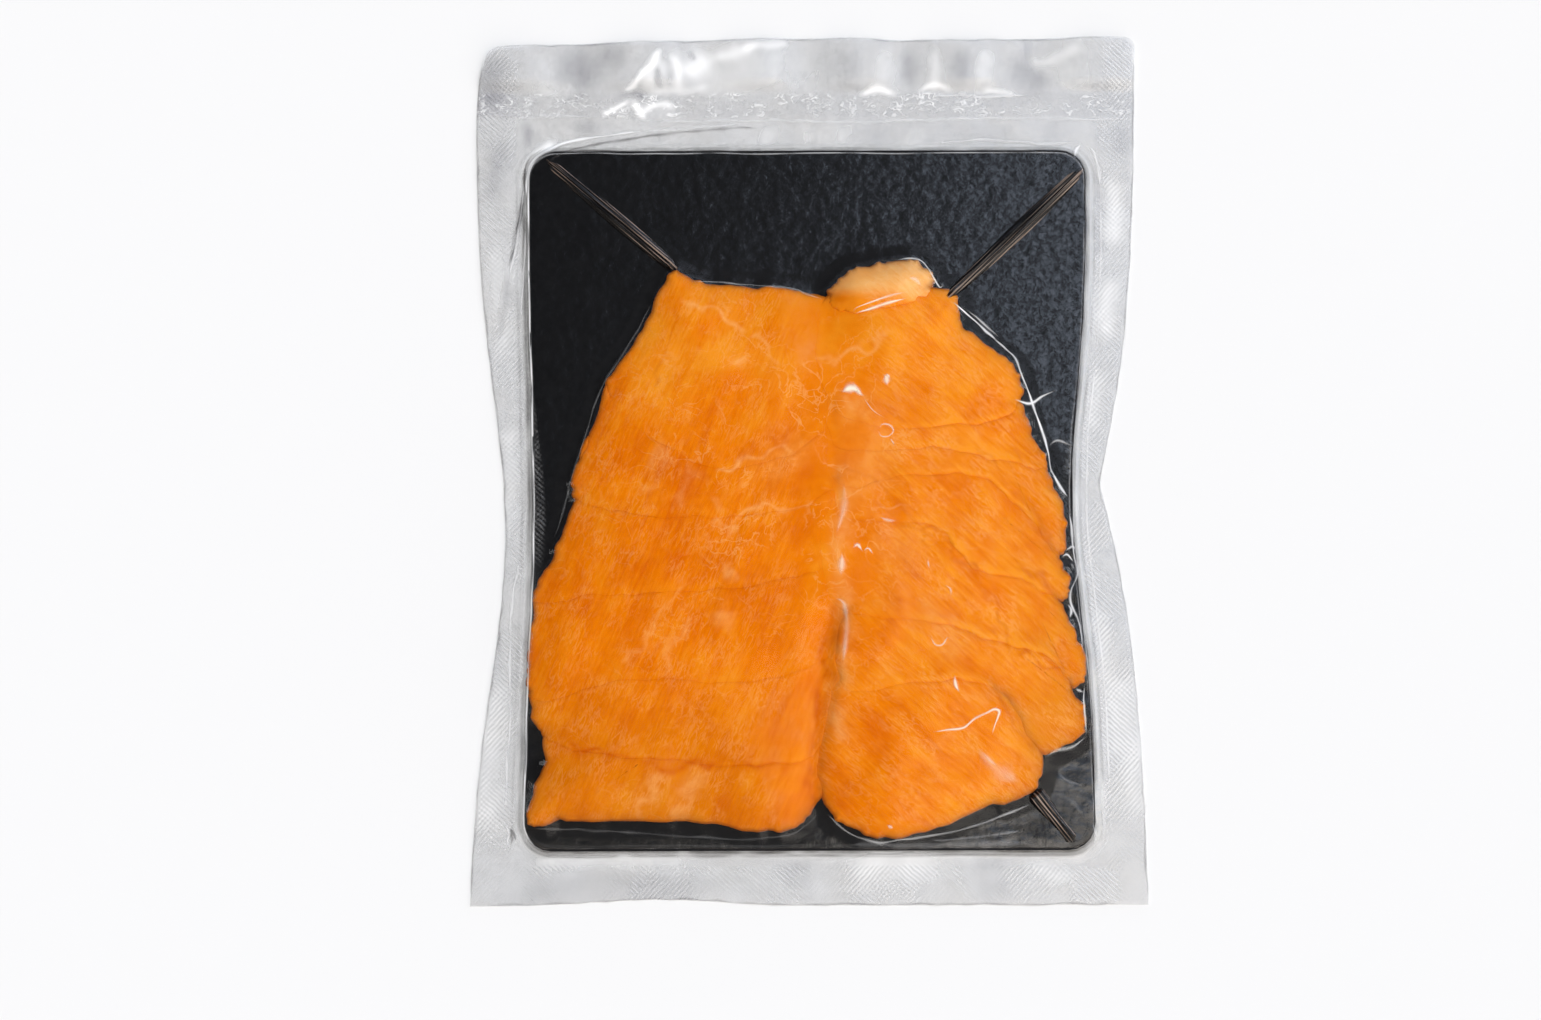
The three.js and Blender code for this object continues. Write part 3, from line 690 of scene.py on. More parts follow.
def piece(name, mesh, material, slot, *nodes):
    obj = bpy.data.objects.new(name, mesh)
    bpy.context.scene.collection.objects.link(obj)
    mesh.materials.append(material)
    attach(obj, "root")
    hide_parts(*nodes)
    return obj


def heart_of(ring):
    """The point inside a ring that sees all of its edge best."""
    p = ring[::7]
    x, y = np.meshgrid(*[np.arange(lo, hi, 1.0) for lo, hi in zip(p.min(0), p.max(0))])
    margin = np.full(x.shape, 1e9)
    for (ax, ay), (bx, by) in zip(p, np.roll(p, -1, 0)):
        ex, ey = bx - ax, by - ay
        margin = np.minimum(margin, (ex * (y - ay) - ey * (x - ax)) / math.hypot(ex, ey))
    best = np.unravel_index(margin.argmax(), margin.shape)
    return np.array([x[best], y[best]])


def slice_sheet(name, segments):
    """A slice's upper face: a square grid drawn out to its outline."""
    ring = rings[name]
    heart = heart_of(soft_ring(SLICES[name]))
    closed = np.vstack([ring, ring[:1]])
    length = lengths_along(closed)

    def place(u, v):
        rho = np.maximum(np.maximum(np.abs(u), np.abs(v)), 1e-9)
        lap = np.select(
            [(u >= rho - 1e-9), (v >= rho - 1e-9), (u <= -rho + 1e-9)],
            [1 + v / rho, 3 - u / rho, 5 - v / rho],
            7 + u / rho)
        rx, ry = point_at((lap % 8) / 8 * length[-1], length, closed)
        share = 1 - (1 - np.minimum(rho, 1)) ** 1.25
        x, y = heart[0] + (rx - heart[0]) * share, heart[1] + (ry - heart[1]) * share
        return x, y, sample(tops[name], x, y)

    return grid_mesh(name, segments, segments, place)


def slice_mesh(name, segments=140, skirt=2.2):
    """A slice: its upper face, its cut edge turned down, and a flat underside."""
    mesh = slice_sheet(name, segments)
    bm = bmesh.new()
    bm.from_mesh(mesh)
    rim = [e for e in bm.edges if e.is_boundary]
    turned = bmesh.ops.extrude_edge_only(bm, edges=rim)["geom"]
    for v in (g for g in turned if isinstance(g, bmesh.types.BMVert)):
        v.co.z = max(v.co.z - skirt * MM, (BOARD_TOP + FISH_GAP) * MM)
    foot = [e for e in bm.edges if e.is_boundary]
    base = bmesh.ops.holes_fill(bm, edges=foot)["faces"]
    bmesh.ops.poke(bm, faces=base)
    bmesh.ops.recalc_face_normals(bm, faces=bm.faces)
    for face in bm.faces:
        face.smooth = True
    for edge in rim + foot:
        edge.smooth = False
    bm.to_mesh(mesh)
    bm.free()
    dress_slice(name, mesh)
    return mesh


def wandering(x, y, by=0.9):
    """The places moved a little, so that what is drawn from the listed points doesn't run too evenly."""
    return x + by * sample(warp_x, x, y), y + by * sample(warp_y, x, y)


def patch(x, y, at, reach):
    """1 at a place, fading softly within a reach across and along."""
    return np.exp(-(((x - at[0]) / reach[0]) ** 2) - ((y - at[1]) / reach[1]) ** 2)


# What makes a slice paler, or deeper in tone where it is below zero. The upper corner and the lip are painted
# highlights.
TONE = dict(
    plain=0.47, patches=0.12, right_row=0.12, header_end=0.22, left_flank=-0.15, upper_corner_highlight=0.2, lip=0.35,
    right_edge=0.16)


def dress_slice(name, mesh):
    """The UV map along the fibres and the values that the flesh's material reads."""
    x, y = spots(mesh)
    angle = FIBRE_LEFT if "left" in name else FIBRE_RIGHT
    along = x * math.cos(angle) + y * math.sin(angle)
    across = y * math.cos(angle) - x * math.sin(angle)
    lay_uv(mesh, along / UV_UNIT, across / UV_UNIT)
    drawn_at = wandering(x, y)
    depth = np.maximum(sample(pile_depth, x, y), 0)
    right = smooth((x - 12) / 30)
    tone = TONE["plain"] + TONE["patches"] * sample(patches, x, y)
    tone += TONE["right_row"] * right + TONE["right_edge"] * right * np.exp(-depth / 6)
    tone += TONE["header_end"] * smooth((y - 15) / 30)
    tone += TONE["left_flank"] * patch(x, y, (-38, -12), (28, 36))
    # painted highlight in the upper left corner
    tone += TONE["upper_corner_highlight"] * patch(x, y, (-37, 48), (18, 16))
    # painted shade: darker low on the left, where less light falls, and along the right edge
    dull = 0.24 * smooth((-y - 40) / 50) * smooth((5 - x) / 35)
    dull += (0.1 + 0.1 * smooth((-y - 45) / 25)) * smooth((x - 52) / 16)
    over = sample(depths[name], x, y)
    under = sample(cover_maps[name], x, y)
    inner = smooth((depth - 2) / 3) * (0.25 + 0.75 * smooth((x - 22) / 26))
    # painted highlight along a slice's raised lip, where no other lies over it
    lip = inner * np.exp(-(((over - 1.2) / 1.0) ** 2)) * (under < -1)
    # painted shade where the slice dips under the one above it
    dip = inner * np.exp(-((np.minimum(under, 0) / 0.7) ** 2))
    rows_meet = (1 - smooth((np.abs(x - 8) - 3) / 14)) * smooth((y + 45) / 20)
    mark(
        mesh,
        tone=tone + TONE["lip"] * lip,
        dull=dull,
        pale=drawn_lines(PALE_TISSUE_AND_SHEEN, *drawn_at),
        seam=drawn_lines(SEAM_SHADE_LINES, *drawn_at) + 0.35 * dip,
        fibrous=(1 - rows_meet) * (1 + 0.45 * right),
        webbed=0.3 + 0.7 * patch(x, y, (-8, 10), (34, 44)),
        rim=np.exp(-depth / 1.4),
        melt=smooth((63 - y - 0.1 * x) / 5))


def edge_sag(x):
    """How far the upper edge lies below its highest point: a drooping left corner and a long wave."""
    corner = 3.2 * np.clip(-(x + 40) / 58, 0, 1) ** 2
    return corner + (0.5 - 0.5 * np.cos(2 * math.pi * x / 107)) * np.clip((90 - x) / 60, 0, 1)


def low_edge_rise(x):
    """How far the lower edge lies above its lowest point."""
    return LOW_EDGE_RISE * np.exp(-(((x + 44) / 24) ** 2))


def across_pouch(u, y):
    """A sheet's x from left to right at the height y, and that height bent as the pouch's cut edges are."""
    x = pouch_left(y) + (pouch_right(y) - pouch_left(y)) * (u + 1) / 2
    share = smooth((y - SEAL_BAND[1]) / (POUCH_TOP - SEAL_BAND[1]))
    low_share = smooth((POUCH_BOTTOM + 10 - y) / 10)
    return x, y - edge_sag(x) * share + low_edge_rise(x) * low_share


def haze_at(x, y):
    """1 where the film is milky, outside the board."""
    return smooth((outside_board(x, y) - 1.2) / 1.6)


def seal_at(x, y):
    """1 on the welded edges of the pouch."""
    side = np.minimum(x - pouch_left(y), pouch_right(y) - x)
    margin = np.minimum(side, y - POUCH_BOTTOM)
    return smooth((SEAL_WIDTH - margin) / 1.5) * smooth((margin - 0.7) / 0.6)


def band_at(x, y):
    """1 on the cross seal, with an uneven upper border."""
    low, high = SEAL_BAND
    border = high + 0.5 * np.sin(x / 3.1) * np.sin(x / 7.7 + 1)
    return smooth((y - low) / 0.8 + 0.5) * smooth((border - y) / 0.8 + 0.5)


FRONT_WAVES = 1.6  # height of the header's waves in the front and the back film
BACK_WAVES = 0.25
RIPPLES = 0.1
BACK_LEVEL = -0.05


def waves_at(y, swing):
    """The open header's waves, 0 to 1, from the swing that they follow."""
    return smooth((y - SEAL_BAND[1]) / 5) * (0.5 - 0.5 * np.cos(swing))


def front_height(x, y):
    """The front film's height with its ripples and the open header's waves."""
    waves = waves_at(y, x / 5.4 + 0.8 * np.sin(x / 23))
    ripples = (1 + np.sin(y / 6 + x / 40)) * haze_at(x, y)
    return sample(film_map, x, y) + FRONT_WAVES * waves + RIPPLES * ripples


def front_sheet(low, high):
    def place(u, v):
        x, y = across_pouch(u, low + (high - low) * (v + 1) / 2)
        return x, y, front_height(x, y)
    return place


def back_sheet(u, v):
    x, y = across_pouch(u, POUCH_BOTTOM + (POUCH_TOP - POUCH_BOTTOM) * (v + 1) / 2)
    return x, y, BACK_LEVEL + BACK_WAVES * waves_at(y, x / 7.1 + 1)


def dress_film(mesh):
    """The values that the film's material reads."""
    x, y = spots(mesh)
    depth = sample(pile_depth, x, y)
    mark(
        mesh,
        haze=haze_at(x, y),
        seal=seal_at(x, y),
        band=band_at(x, y),
        wet=sample(wet, x, y),
        tent=smooth((TENT + depth) / 1.5) * smooth(-depth / 0.6 + 0.5),
        sheen=drawn_lines(SHEEN, *wandering(x, y, 0.225)) * smooth(outside_board(x, y) + 0.6))


def uneven(rng, length, pitch, low, high):
    """A value that drifts between two limits along a line, as a function of the distance along it."""
    knots = np.arange(0, length + 2 * pitch, pitch)
    values = rng.uniform(low, high, len(knots))
    return lambda at: np.interp(at, knots, values)


STRIP_GAP = 0.04  # the strips of creases and of edge folds lie this far over the front film
EDGE_STRIP_GAP = 0.05
CREASE_SPREAD = 1.9  # a crease's strip is this much wider than its bright part
CREASE_RISE = 0.35  # for each millimetre of its half width
CREASE_ROWS = 10


def crease_strip(number, width, strength, points):
    """One crease as a narrow raised strip, with its painted highlight and shade at each vertex."""
    line = softened(points, 8)
    length = lengths_along(line)
    total = length[-1]
    side = -right_of(np.gradient(line, axis=0))
    if side.sum() < 0:
        side = -side
    rng = np.random.default_rng(number)
    swell = uneven(rng, total, 3.5, 0.5, 1.5)
    drift = uneven(rng, total, 4.5, -0.3, 0.3)
    glow = uneven(rng, total, 4.0, 0.45, 1.1)
    steps = max(int(total / 0.4), 6)

    def place(u, v):
        at = (u + 1) / 2 * total
        x, y = point_at(at, length, line)
        sx, sy = point_at(at, length, side)
        taper = 0.25 + 0.75 * smooth(2 * np.minimum(at, total - at) / min(total, 12))
        offset = v * CREASE_SPREAD * width * taper * swell(at) + drift(at) * min(total / 20, 1)
        x, y = x + sx * offset, y + sy * offset
        return x, y, front_height(x, y) + STRIP_GAP + CREASE_RISE * width * np.exp(-3 * v**2)

    strip = grid_mesh("strip", steps, CREASE_ROWS, place)
    u, v = grid_uv(steps, CREASE_ROWS)
    ends = min(3.0, total * 0.4)
    at = (u + 1) / 2 * total
    fade = smooth(0.05 + at / ends) * smooth(0.05 + (total - at) / ends) * glow(at)
    lit = np.exp(-5 * v**2) * smooth((1 - np.abs(v)) * 5)
    return strip, strength * fade * lit


def cut_edges():
    """Faint dark lines along the cut edges of the pouch."""
    width, strength = 0.3, -0.28
    y = np.arange(POUCH_BOTTOM + 1, POUCH_TOP - POUCH_CORNER, 8)
    x = np.arange(-POUCH_WIDTH / 2 + 4, POUCH_WIDTH / 2 - 3, 8)
    left = pouch_left(y) + width, y
    right = pouch_right(y) - width, y
    low = x, POUCH_BOTTOM + low_edge_rise(x) + width
    high = x, POUCH_TOP - edge_sag(x) - width
    return [(width, strength, list(zip(*line))) for line in (left, right, low, high)]


def joined_strips(name, strips):
    """One mesh from strips that each come with their painted highlight and shade."""
    bm = bmesh.new()
    tints = []
    for strip, tint in strips:
        bm.from_mesh(strip)
        bpy.data.meshes.remove(strip)
        tints.append(tint)
    mesh = bpy.data.meshes.new(name)
    bm.to_mesh(mesh)
    bm.free()
    mesh.shade_smooth()
    mark(mesh, bright=np.concatenate(tints), warm=sample(wet, *spots(mesh)))
    return mesh


# Folds of the film along each edge of the board, as painted highlight and shade lines: distance outside the
# edge, half width and strength.
EDGE_GLINTS_AND_SHADE = {
    "left": [(-0.15, 0.2, 1.0), (0.35, 0.2, -0.55), (1.2, 0.6, -0.35), (2.5, 0.4, 0.15), (3.4, 0.5, -0.12)],
    "right": [
        (-0.6, 0.17, 0.16), (0.2, 0.3, -0.75), (0.9, 0.3, -0.3), (2.6, 0.5, -0.15), (3.5, 0.3, 0.2),
        (4.5, 0.35, 0.5)],
    "top": [(-0.7, 0.17, 0.4), (0.1, 0.3, -0.7), (0.9, 0.4, -0.2)],
    "bottom": [(-1.5, 0.22, 0.03), (-0.5, 0.3, -0.8), (0.4, 0.5, -0.7), (1.5, 0.4, -0.35)],
}
EDGE_STRIP = (-2.2, 5.4)  # the strip over the board's edge lies between these distances outside it
EDGE_STRIP_ROWS = 38
EDGE_FOLD_RISE = 0.12


def board_outline(steps=900):
    """Points round the board's outline at even distances."""
    inner = BOARD_HALF - BOARD_CORNER
    sides = np.linspace(-inner, inner, 120)

    def side(edge, y):
        return np.stack([edge(y), y], 1)

    def corner(edge, sign_x, sign_y, quarter):
        angle = np.linspace(0, math.pi / 2, 13) + quarter * math.pi / 2
        middle = edge(sign_y * inner) - sign_x * BOARD_CORNER
        return np.stack(
            [middle + BOARD_CORNER * np.cos(angle), sign_y * inner + BOARD_CORNER * np.sin(angle)], 1)

    ring = np.vstack([
        corner(board_right, 1, 1, 0),
        corner(board_left, -1, 1, 1),
        side(board_left, sides[::-1]),
        corner(board_left, -1, -1, 2),
        corner(board_right, 1, -1, 3),
        side(board_right, sides)])
    ring = ring[np.concatenate([[True], np.linalg.norm(np.diff(ring, axis=0), axis=1) > 1e-6])]
    length = lengths_along(ring)
    return np.stack(point_at(np.linspace(0, length[-1], steps + 1), length, ring), 1)


def edge_strip():
    """The film's tight folds along the board's edge, as one closed strip with its painted highlight and
    shade.
    """
    line = board_outline()
    around = np.linspace(-1, 1, len(line))
    slope = np.roll(line[:-1], -1, 0) - np.roll(line[:-1], 1, 0)
    outward = right_of(np.vstack([slope, slope[:1]]))

    def distance_out(v):
        return EDGE_STRIP[0] + (EDGE_STRIP[1] - EDGE_STRIP[0]) * (v + 1) / 2

    def lit_and_shaded(u, v):
        x, y = point_at(u, around, line)
        nx, ny = point_at(u, around, outward)
        out = distance_out(v) + 0.1 * sample(warp_x, x / 3, y / 3)
        shares = {"left": -nx, "right": nx, "top": ny, "bottom": -ny}
        total = 0
        for edge, lines in EDGE_GLINTS_AND_SHADE.items():
            share = np.clip(shares[edge], 0, 1) ** 2
            for i, (centre, width, strength) in enumerate(lines):
                patchy = np.clip(0.8 + 0.35 * sample(patches, x + 17 * i, y), 0, 1.3)
                total = total + share * strength * patchy * np.exp(-(((out - centre) / width) ** 2))
        return np.clip(total, -1, 1) * smooth((1 - np.abs(v)) * 6)

    def place(u, v):
        x, y = point_at(u, around, line)
        nx, ny = point_at(u, around, outward)
        x, y = x + distance_out(v) * nx, y + distance_out(v) * ny
        return x, y, front_height(x, y) + EDGE_STRIP_GAP + EDGE_FOLD_RISE * lit_and_shaded(u, v)

    steps = len(line) - 1
    strip = grid_mesh("strip", steps, EDGE_STRIP_ROWS, place)
    return strip, lit_and_shaded(*grid_uv(steps, EDGE_STRIP_ROWS))


def fold_mesh(name, start, end, height, width):
    """A pinched fold of film: a narrow strip of fine ribs from the fish to the board's corner."""
    start, end = np.array(start, float), np.array(end, float)
    run = np.linalg.norm(end - start)
    way = (end - start) / run
    side = np.array([-way[1], way[0]])
    phase = np.random.default_rng(int(abs(start[0] * 7))).uniform(0, 6, 3)

    def place(u, v):
        along = (u + 1) / 2
        taper = smooth(along / 0.06) * smooth((1 - along) / 0.09)
        half = width / 2 * (0.8 + 0.2 * np.sin(along * 5 + phase[0])) * (0.35 + 0.65 * taper)
        x = start[0] + way[0] * along * run + side[0] * v * half
        y = start[1] + way[1] * along * run + side[1] * v * half
        arch = np.maximum(1 - v**2, 0) ** 0.6
        ribs = 0.22 * np.sin(v * 11 + phase[1] + 0.8 * np.sin(along * 6))
        ribs += 0.1 * np.sin(v * 21 + phase[2] + along * 5)
        top = height * (0.35 + 0.65 * (1 - along)) * arch * taper
        return x, y, sample(film_map, x, y) - 0.15 + top + ribs * arch

    mesh = grid_mesh(name, 90, 36, place)
    from_start = np.stack(spots(mesh), 1) - start
    lay_uv(mesh, from_start @ way / UV_UNIT, from_start @ side / UV_UNIT)
    return mesh


# ---- node helpers ---------------------------------------------------------------------------------------


class Nodes:
    """Short names for making and joining shader nodes."""

    def __init__(self, tree):
        self.tree = tree

    def add(self, kind, inputs=None, **props):
        node = self.tree.nodes.new(kind)
        for key, value in props.items():
            setattr(node, key, value)
        for key, value in (inputs or {}).items():
            self.put(node.inputs[key], value)
        return node

    def put(self, socket, value):
        if isinstance(value, bpy.types.NodeSocket):
            self.tree.links.new(value, socket)
        elif isinstance(value, bpy.types.Node):
            self.tree.links.new(value.outputs[0], socket)
        else:
            socket.default_value = value

    def math(self, operation, a, b=0.0, clamp=False):
        return self.add("ShaderNodeMath", {0: a, 1: b}, operation=operation, use_clamp=clamp).outputs[0]

    def minus(self, a, b):
        return self.math("SUBTRACT", a, b)

    def total(self, first, *others):
        for other in others:
            first = self.math("ADD", first, other)
        return first

    def times(self, first, *others):
        for other in others:
            first = self.math("MULTIPLY", first, other)
        return first

    def span(self, value, low, high, to_low=0.0, to_high=1.0):
        return self.add(
            "ShaderNodeMapRange", {0: value, 1: low, 2: high, 3: to_low, 4: to_high},
            interpolation_type="SMOOTHSTEP").outputs[0]

    def colour(self, share, a, b):
        node = self.add("ShaderNodeMix", data_type="RGBA")
        self.put(node.inputs[0], share)
        self.put(node.inputs[6], a)
        self.put(node.inputs[7], b)
        return node.outputs[2]

    def blend(self, share, a, b):
        return self.add("ShaderNodeMix", {0: share, 2: a, 3: b}).outputs[0]

    def noise(self, vector, scale, detail=2.0, distortion=0.0):
        return self.add(
            "ShaderNodeTexNoise",
            {"Vector": vector, "Scale": scale, "Detail": detail, "Distortion": distortion}).outputs[0]

    def stretched(self, vector, scale, turn=0.0):
        return self.add(
            "ShaderNodeMapping", {"Vector": vector, "Scale": scale, "Rotation": (0, 0, turn)}).outputs[0]

    def thin_line(self, value, width):
        """1 where the value passes through a half, so that noise draws thin curly lines."""
        return self.span(self.math("ABSOLUTE", self.minus(value, 0.5)), 0.0, width, 1.0, 0.0)

    def attribute(self, name):
        return self.add("ShaderNodeAttribute", attribute_name=name).outputs["Fac"]


def new_group(name, inputs, outputs):
    """An empty shader node group with named sockets."""
    tree = bpy.data.node_groups.new(name, "ShaderNodeTree")
    for key, kind in inputs:
        tree.interface.new_socket(key, in_out="INPUT", socket_type="NodeSocket" + kind)
    for key in outputs:
        tree.interface.new_socket(key, in_out="OUTPUT", socket_type="NodeSocketFloat")
    n = Nodes(tree)
    return tree, n, n.add("NodeGroupInput"), n.add("NodeGroupOutput")


def new_material(name):
    material = bpy.data.materials.new(name)
    material.use_nodes = True
    material.node_tree.nodes.clear()
    n = Nodes(material.node_tree)
    return material, n, n.add("ShaderNodeOutputMaterial")


def srgb(r, g, b):
    def linear(c):
        c /= 255
        return c / 12.92 if c < 0.04045 else ((c + 0.055) / 1.055) ** 2.4

    return (linear(r), linear(g), linear(b), 1.0)


# ---- materials ------------------------------------------------------------------------------------------


def flesh_group():
    """The grain of fish flesh: fine fibres, thin pale membranes and a fine uneven surface."""
    tree, n, inside, out = new_group(
        "flesh_grain", [("Fibre Vector", "Vector"), ("Place", "Vector")],
        ["Fibres", "Mottle", "Membranes", "Fibrils"])
    fibre_vector, place = inside.outputs[0], inside.outputs[1]
    fine = n.noise(n.stretched(fibre_vector, (1.4, 12, 1)), 1.0, 4, 0.5)
    coarse = n.noise(n.stretched(fibre_vector, (0.45, 2.6, 1)), 1.0, 3, 0.6)
    fibres = n.total(n.times(fine, 0.5), n.times(coarse, 0.5))
    mottle = n.total(n.times(n.noise(place, 90, 4, 0.3), 0.6), n.times(n.noise(place, 380, 3), 0.4))
    curls = n.thin_line(n.noise(place, 105, 4, 0.5), 0.02)
    second = n.thin_line(n.noise(n.stretched(place, (1, 1, 1), 0.8), 150, 4, 0.8), 0.024)
    fibrils = n.thin_line(n.noise(n.stretched(fibre_vector, (2.6, 9.5, 1)), 1.0, 3, 0.8), 0.085)
    where_curls = n.span(n.noise(place, 60, 2), 0.45, 0.62)
    where_second = n.span(n.noise(place, 85, 2), 0.5, 0.64)
    where_fibrils = n.span(n.noise(place, 130, 2), 0.4, 0.65, 0.15, 1)
    webs = n.math("MAXIMUM", n.times(curls, where_curls), n.times(second, where_second))
    for socket, value in zip(out.inputs, (fibres, mottle, webs, n.times(fibrils, where_fibrils))):
        n.put(socket, value)
    return tree


FLESH_GRAIN = flesh_group()
# the colour of the painted shade, low on the left and along the right edge
SHADED_FLESH = srgb(150, 98, 12)
THIN_EDGE = srgb(150, 84, 34)  # where the flesh is thin enough to let the board through


def salmon_material(name, tones, melts_into=None):
    """Smoked salmon in five tones: deep, middle, light, membranes, and the painted shade of the seams."""
    material, n, out = new_material(name)
    uv = n.add("ShaderNodeUVMap", uv_map="UVMap").outputs[0]
    place = n.add("ShaderNodeTexCoord").outputs["Object"]
    grain = n.add("ShaderNodeGroup", node_tree=FLESH_GRAIN)
    n.put(grain.inputs[0], uv)
    n.put(grain.inputs[1], place)
    fibres, mottle, membranes, fibrils = grain.outputs
    fibre_tone = n.times(n.minus(fibres, 0.5), n.attribute("fibrous"), 1.4)
    mottle_tone = n.times(n.minus(mottle, 0.5), 0.9)
    tone = n.total(n.attribute("tone"), fibre_tone, mottle_tone)
    if melts_into:
        tones = [n.colour(n.attribute("melt"), a, b) for a, b in zip(tones, melts_into)]
    deep, middle, light, membrane, seam = tones
    base = n.colour(n.math("MULTIPLY", tone, 2.0, True), deep, middle)
    base = n.colour(n.math("SUBTRACT", n.times(tone, 2.0), 1.0, True), base, light)
    # painted shade, low on the left and along the right edge
    base = n.colour(n.attribute("dull"), base, SHADED_FLESH)
    base = n.colour(n.times(fibrils, n.attribute("fibrous"), 0.2), base, membrane)
    base = n.colour(n.times(membranes, n.attribute("webbed"), 0.42), base, membrane)
    # pale tissue, and painted sheen of the film over the flesh
    rough_pale = n.span(mottle, 0.35, 0.65, 0.4, 1.2)
    base = n.colour(n.math("MULTIPLY", n.attribute("pale"), rough_pale, True), base, membrane)
    # painted shade along the seams
    base = n.colour(n.times(n.attribute("seam"), n.span(mottle, 0.4, 0.62, 0.3, 1.0)), base, seam)
    base = n.colour(n.times(n.attribute("rim"), n.span(mottle, 0.4, 0.6, 0.5, 1.0)), base, THIN_EDGE)
    height = n.total(n.times(fibres, n.attribute("fibrous")), n.times(membranes, 0.3), n.times(mottle, 0.5))
    bump = n.add("ShaderNodeBump", {"Strength": 0.25, "Distance": 0.0003, "Height": height})
    shader = n.add(
        "ShaderNodeBsdfPrincipled",
        {"Base Color": base, "Roughness": 0.5, "Specular IOR Level": 0.02, "Normal": bump})
    n.put(out.inputs["Surface"], shader)
    return material


def board_material():
    """Black laminated card with the faint leathery mottle of its coating."""
    material, n, out = new_material("black_laminated_card")
    place = n.add("ShaderNodeTexCoord").outputs["Object"]
    mottle = n.noise(place, 420, 4)
    bump = n.add("ShaderNodeBump", {"Strength": 0.25, "Distance": 0.0002, "Height": mottle})
    shader = n.add(
        "ShaderNodeBsdfPrincipled",
        {"Base Color": n.colour(mottle, (0.003, 0.003, 0.0035, 1), (0.009, 0.009, 0.010, 1)),
         "Roughness": 0.45, "Specular IOR Level": 0.2, "Normal": bump})
    n.put(out.inputs["Surface"], shader)
    return material


def show_through(n, out, share, shader, clearness=1.0):
    """Lets a material show its shader by a share, and be clear for the rest."""
    clear = n.add("ShaderNodeBsdfTransparent", {"Color": (clearness, clearness, clearness, 1)})
    n.put(out.inputs["Surface"], n.add("ShaderNodeMixShader", {0: share, 1: clear, 2: shader}))


HATCH_PITCH = 1.1  # distance between the emboss lines
HATCH_SCALE = 2 * math.pi / 20 / (HATCH_PITCH * MM)  # of a wave texture
MILK_WARM, MILK_COOL = (0.50, 0.49, 0.495, 1), (0.47, 0.48, 0.52, 1)
MILK_PALE, MILK_SHADED = (0.78, 0.78, 0.79, 1), (0.33, 0.33, 0.37, 1)
FILM_WHITE, CLEAR = (0.97, 0.97, 0.97, 1), (1, 1, 1, 1)


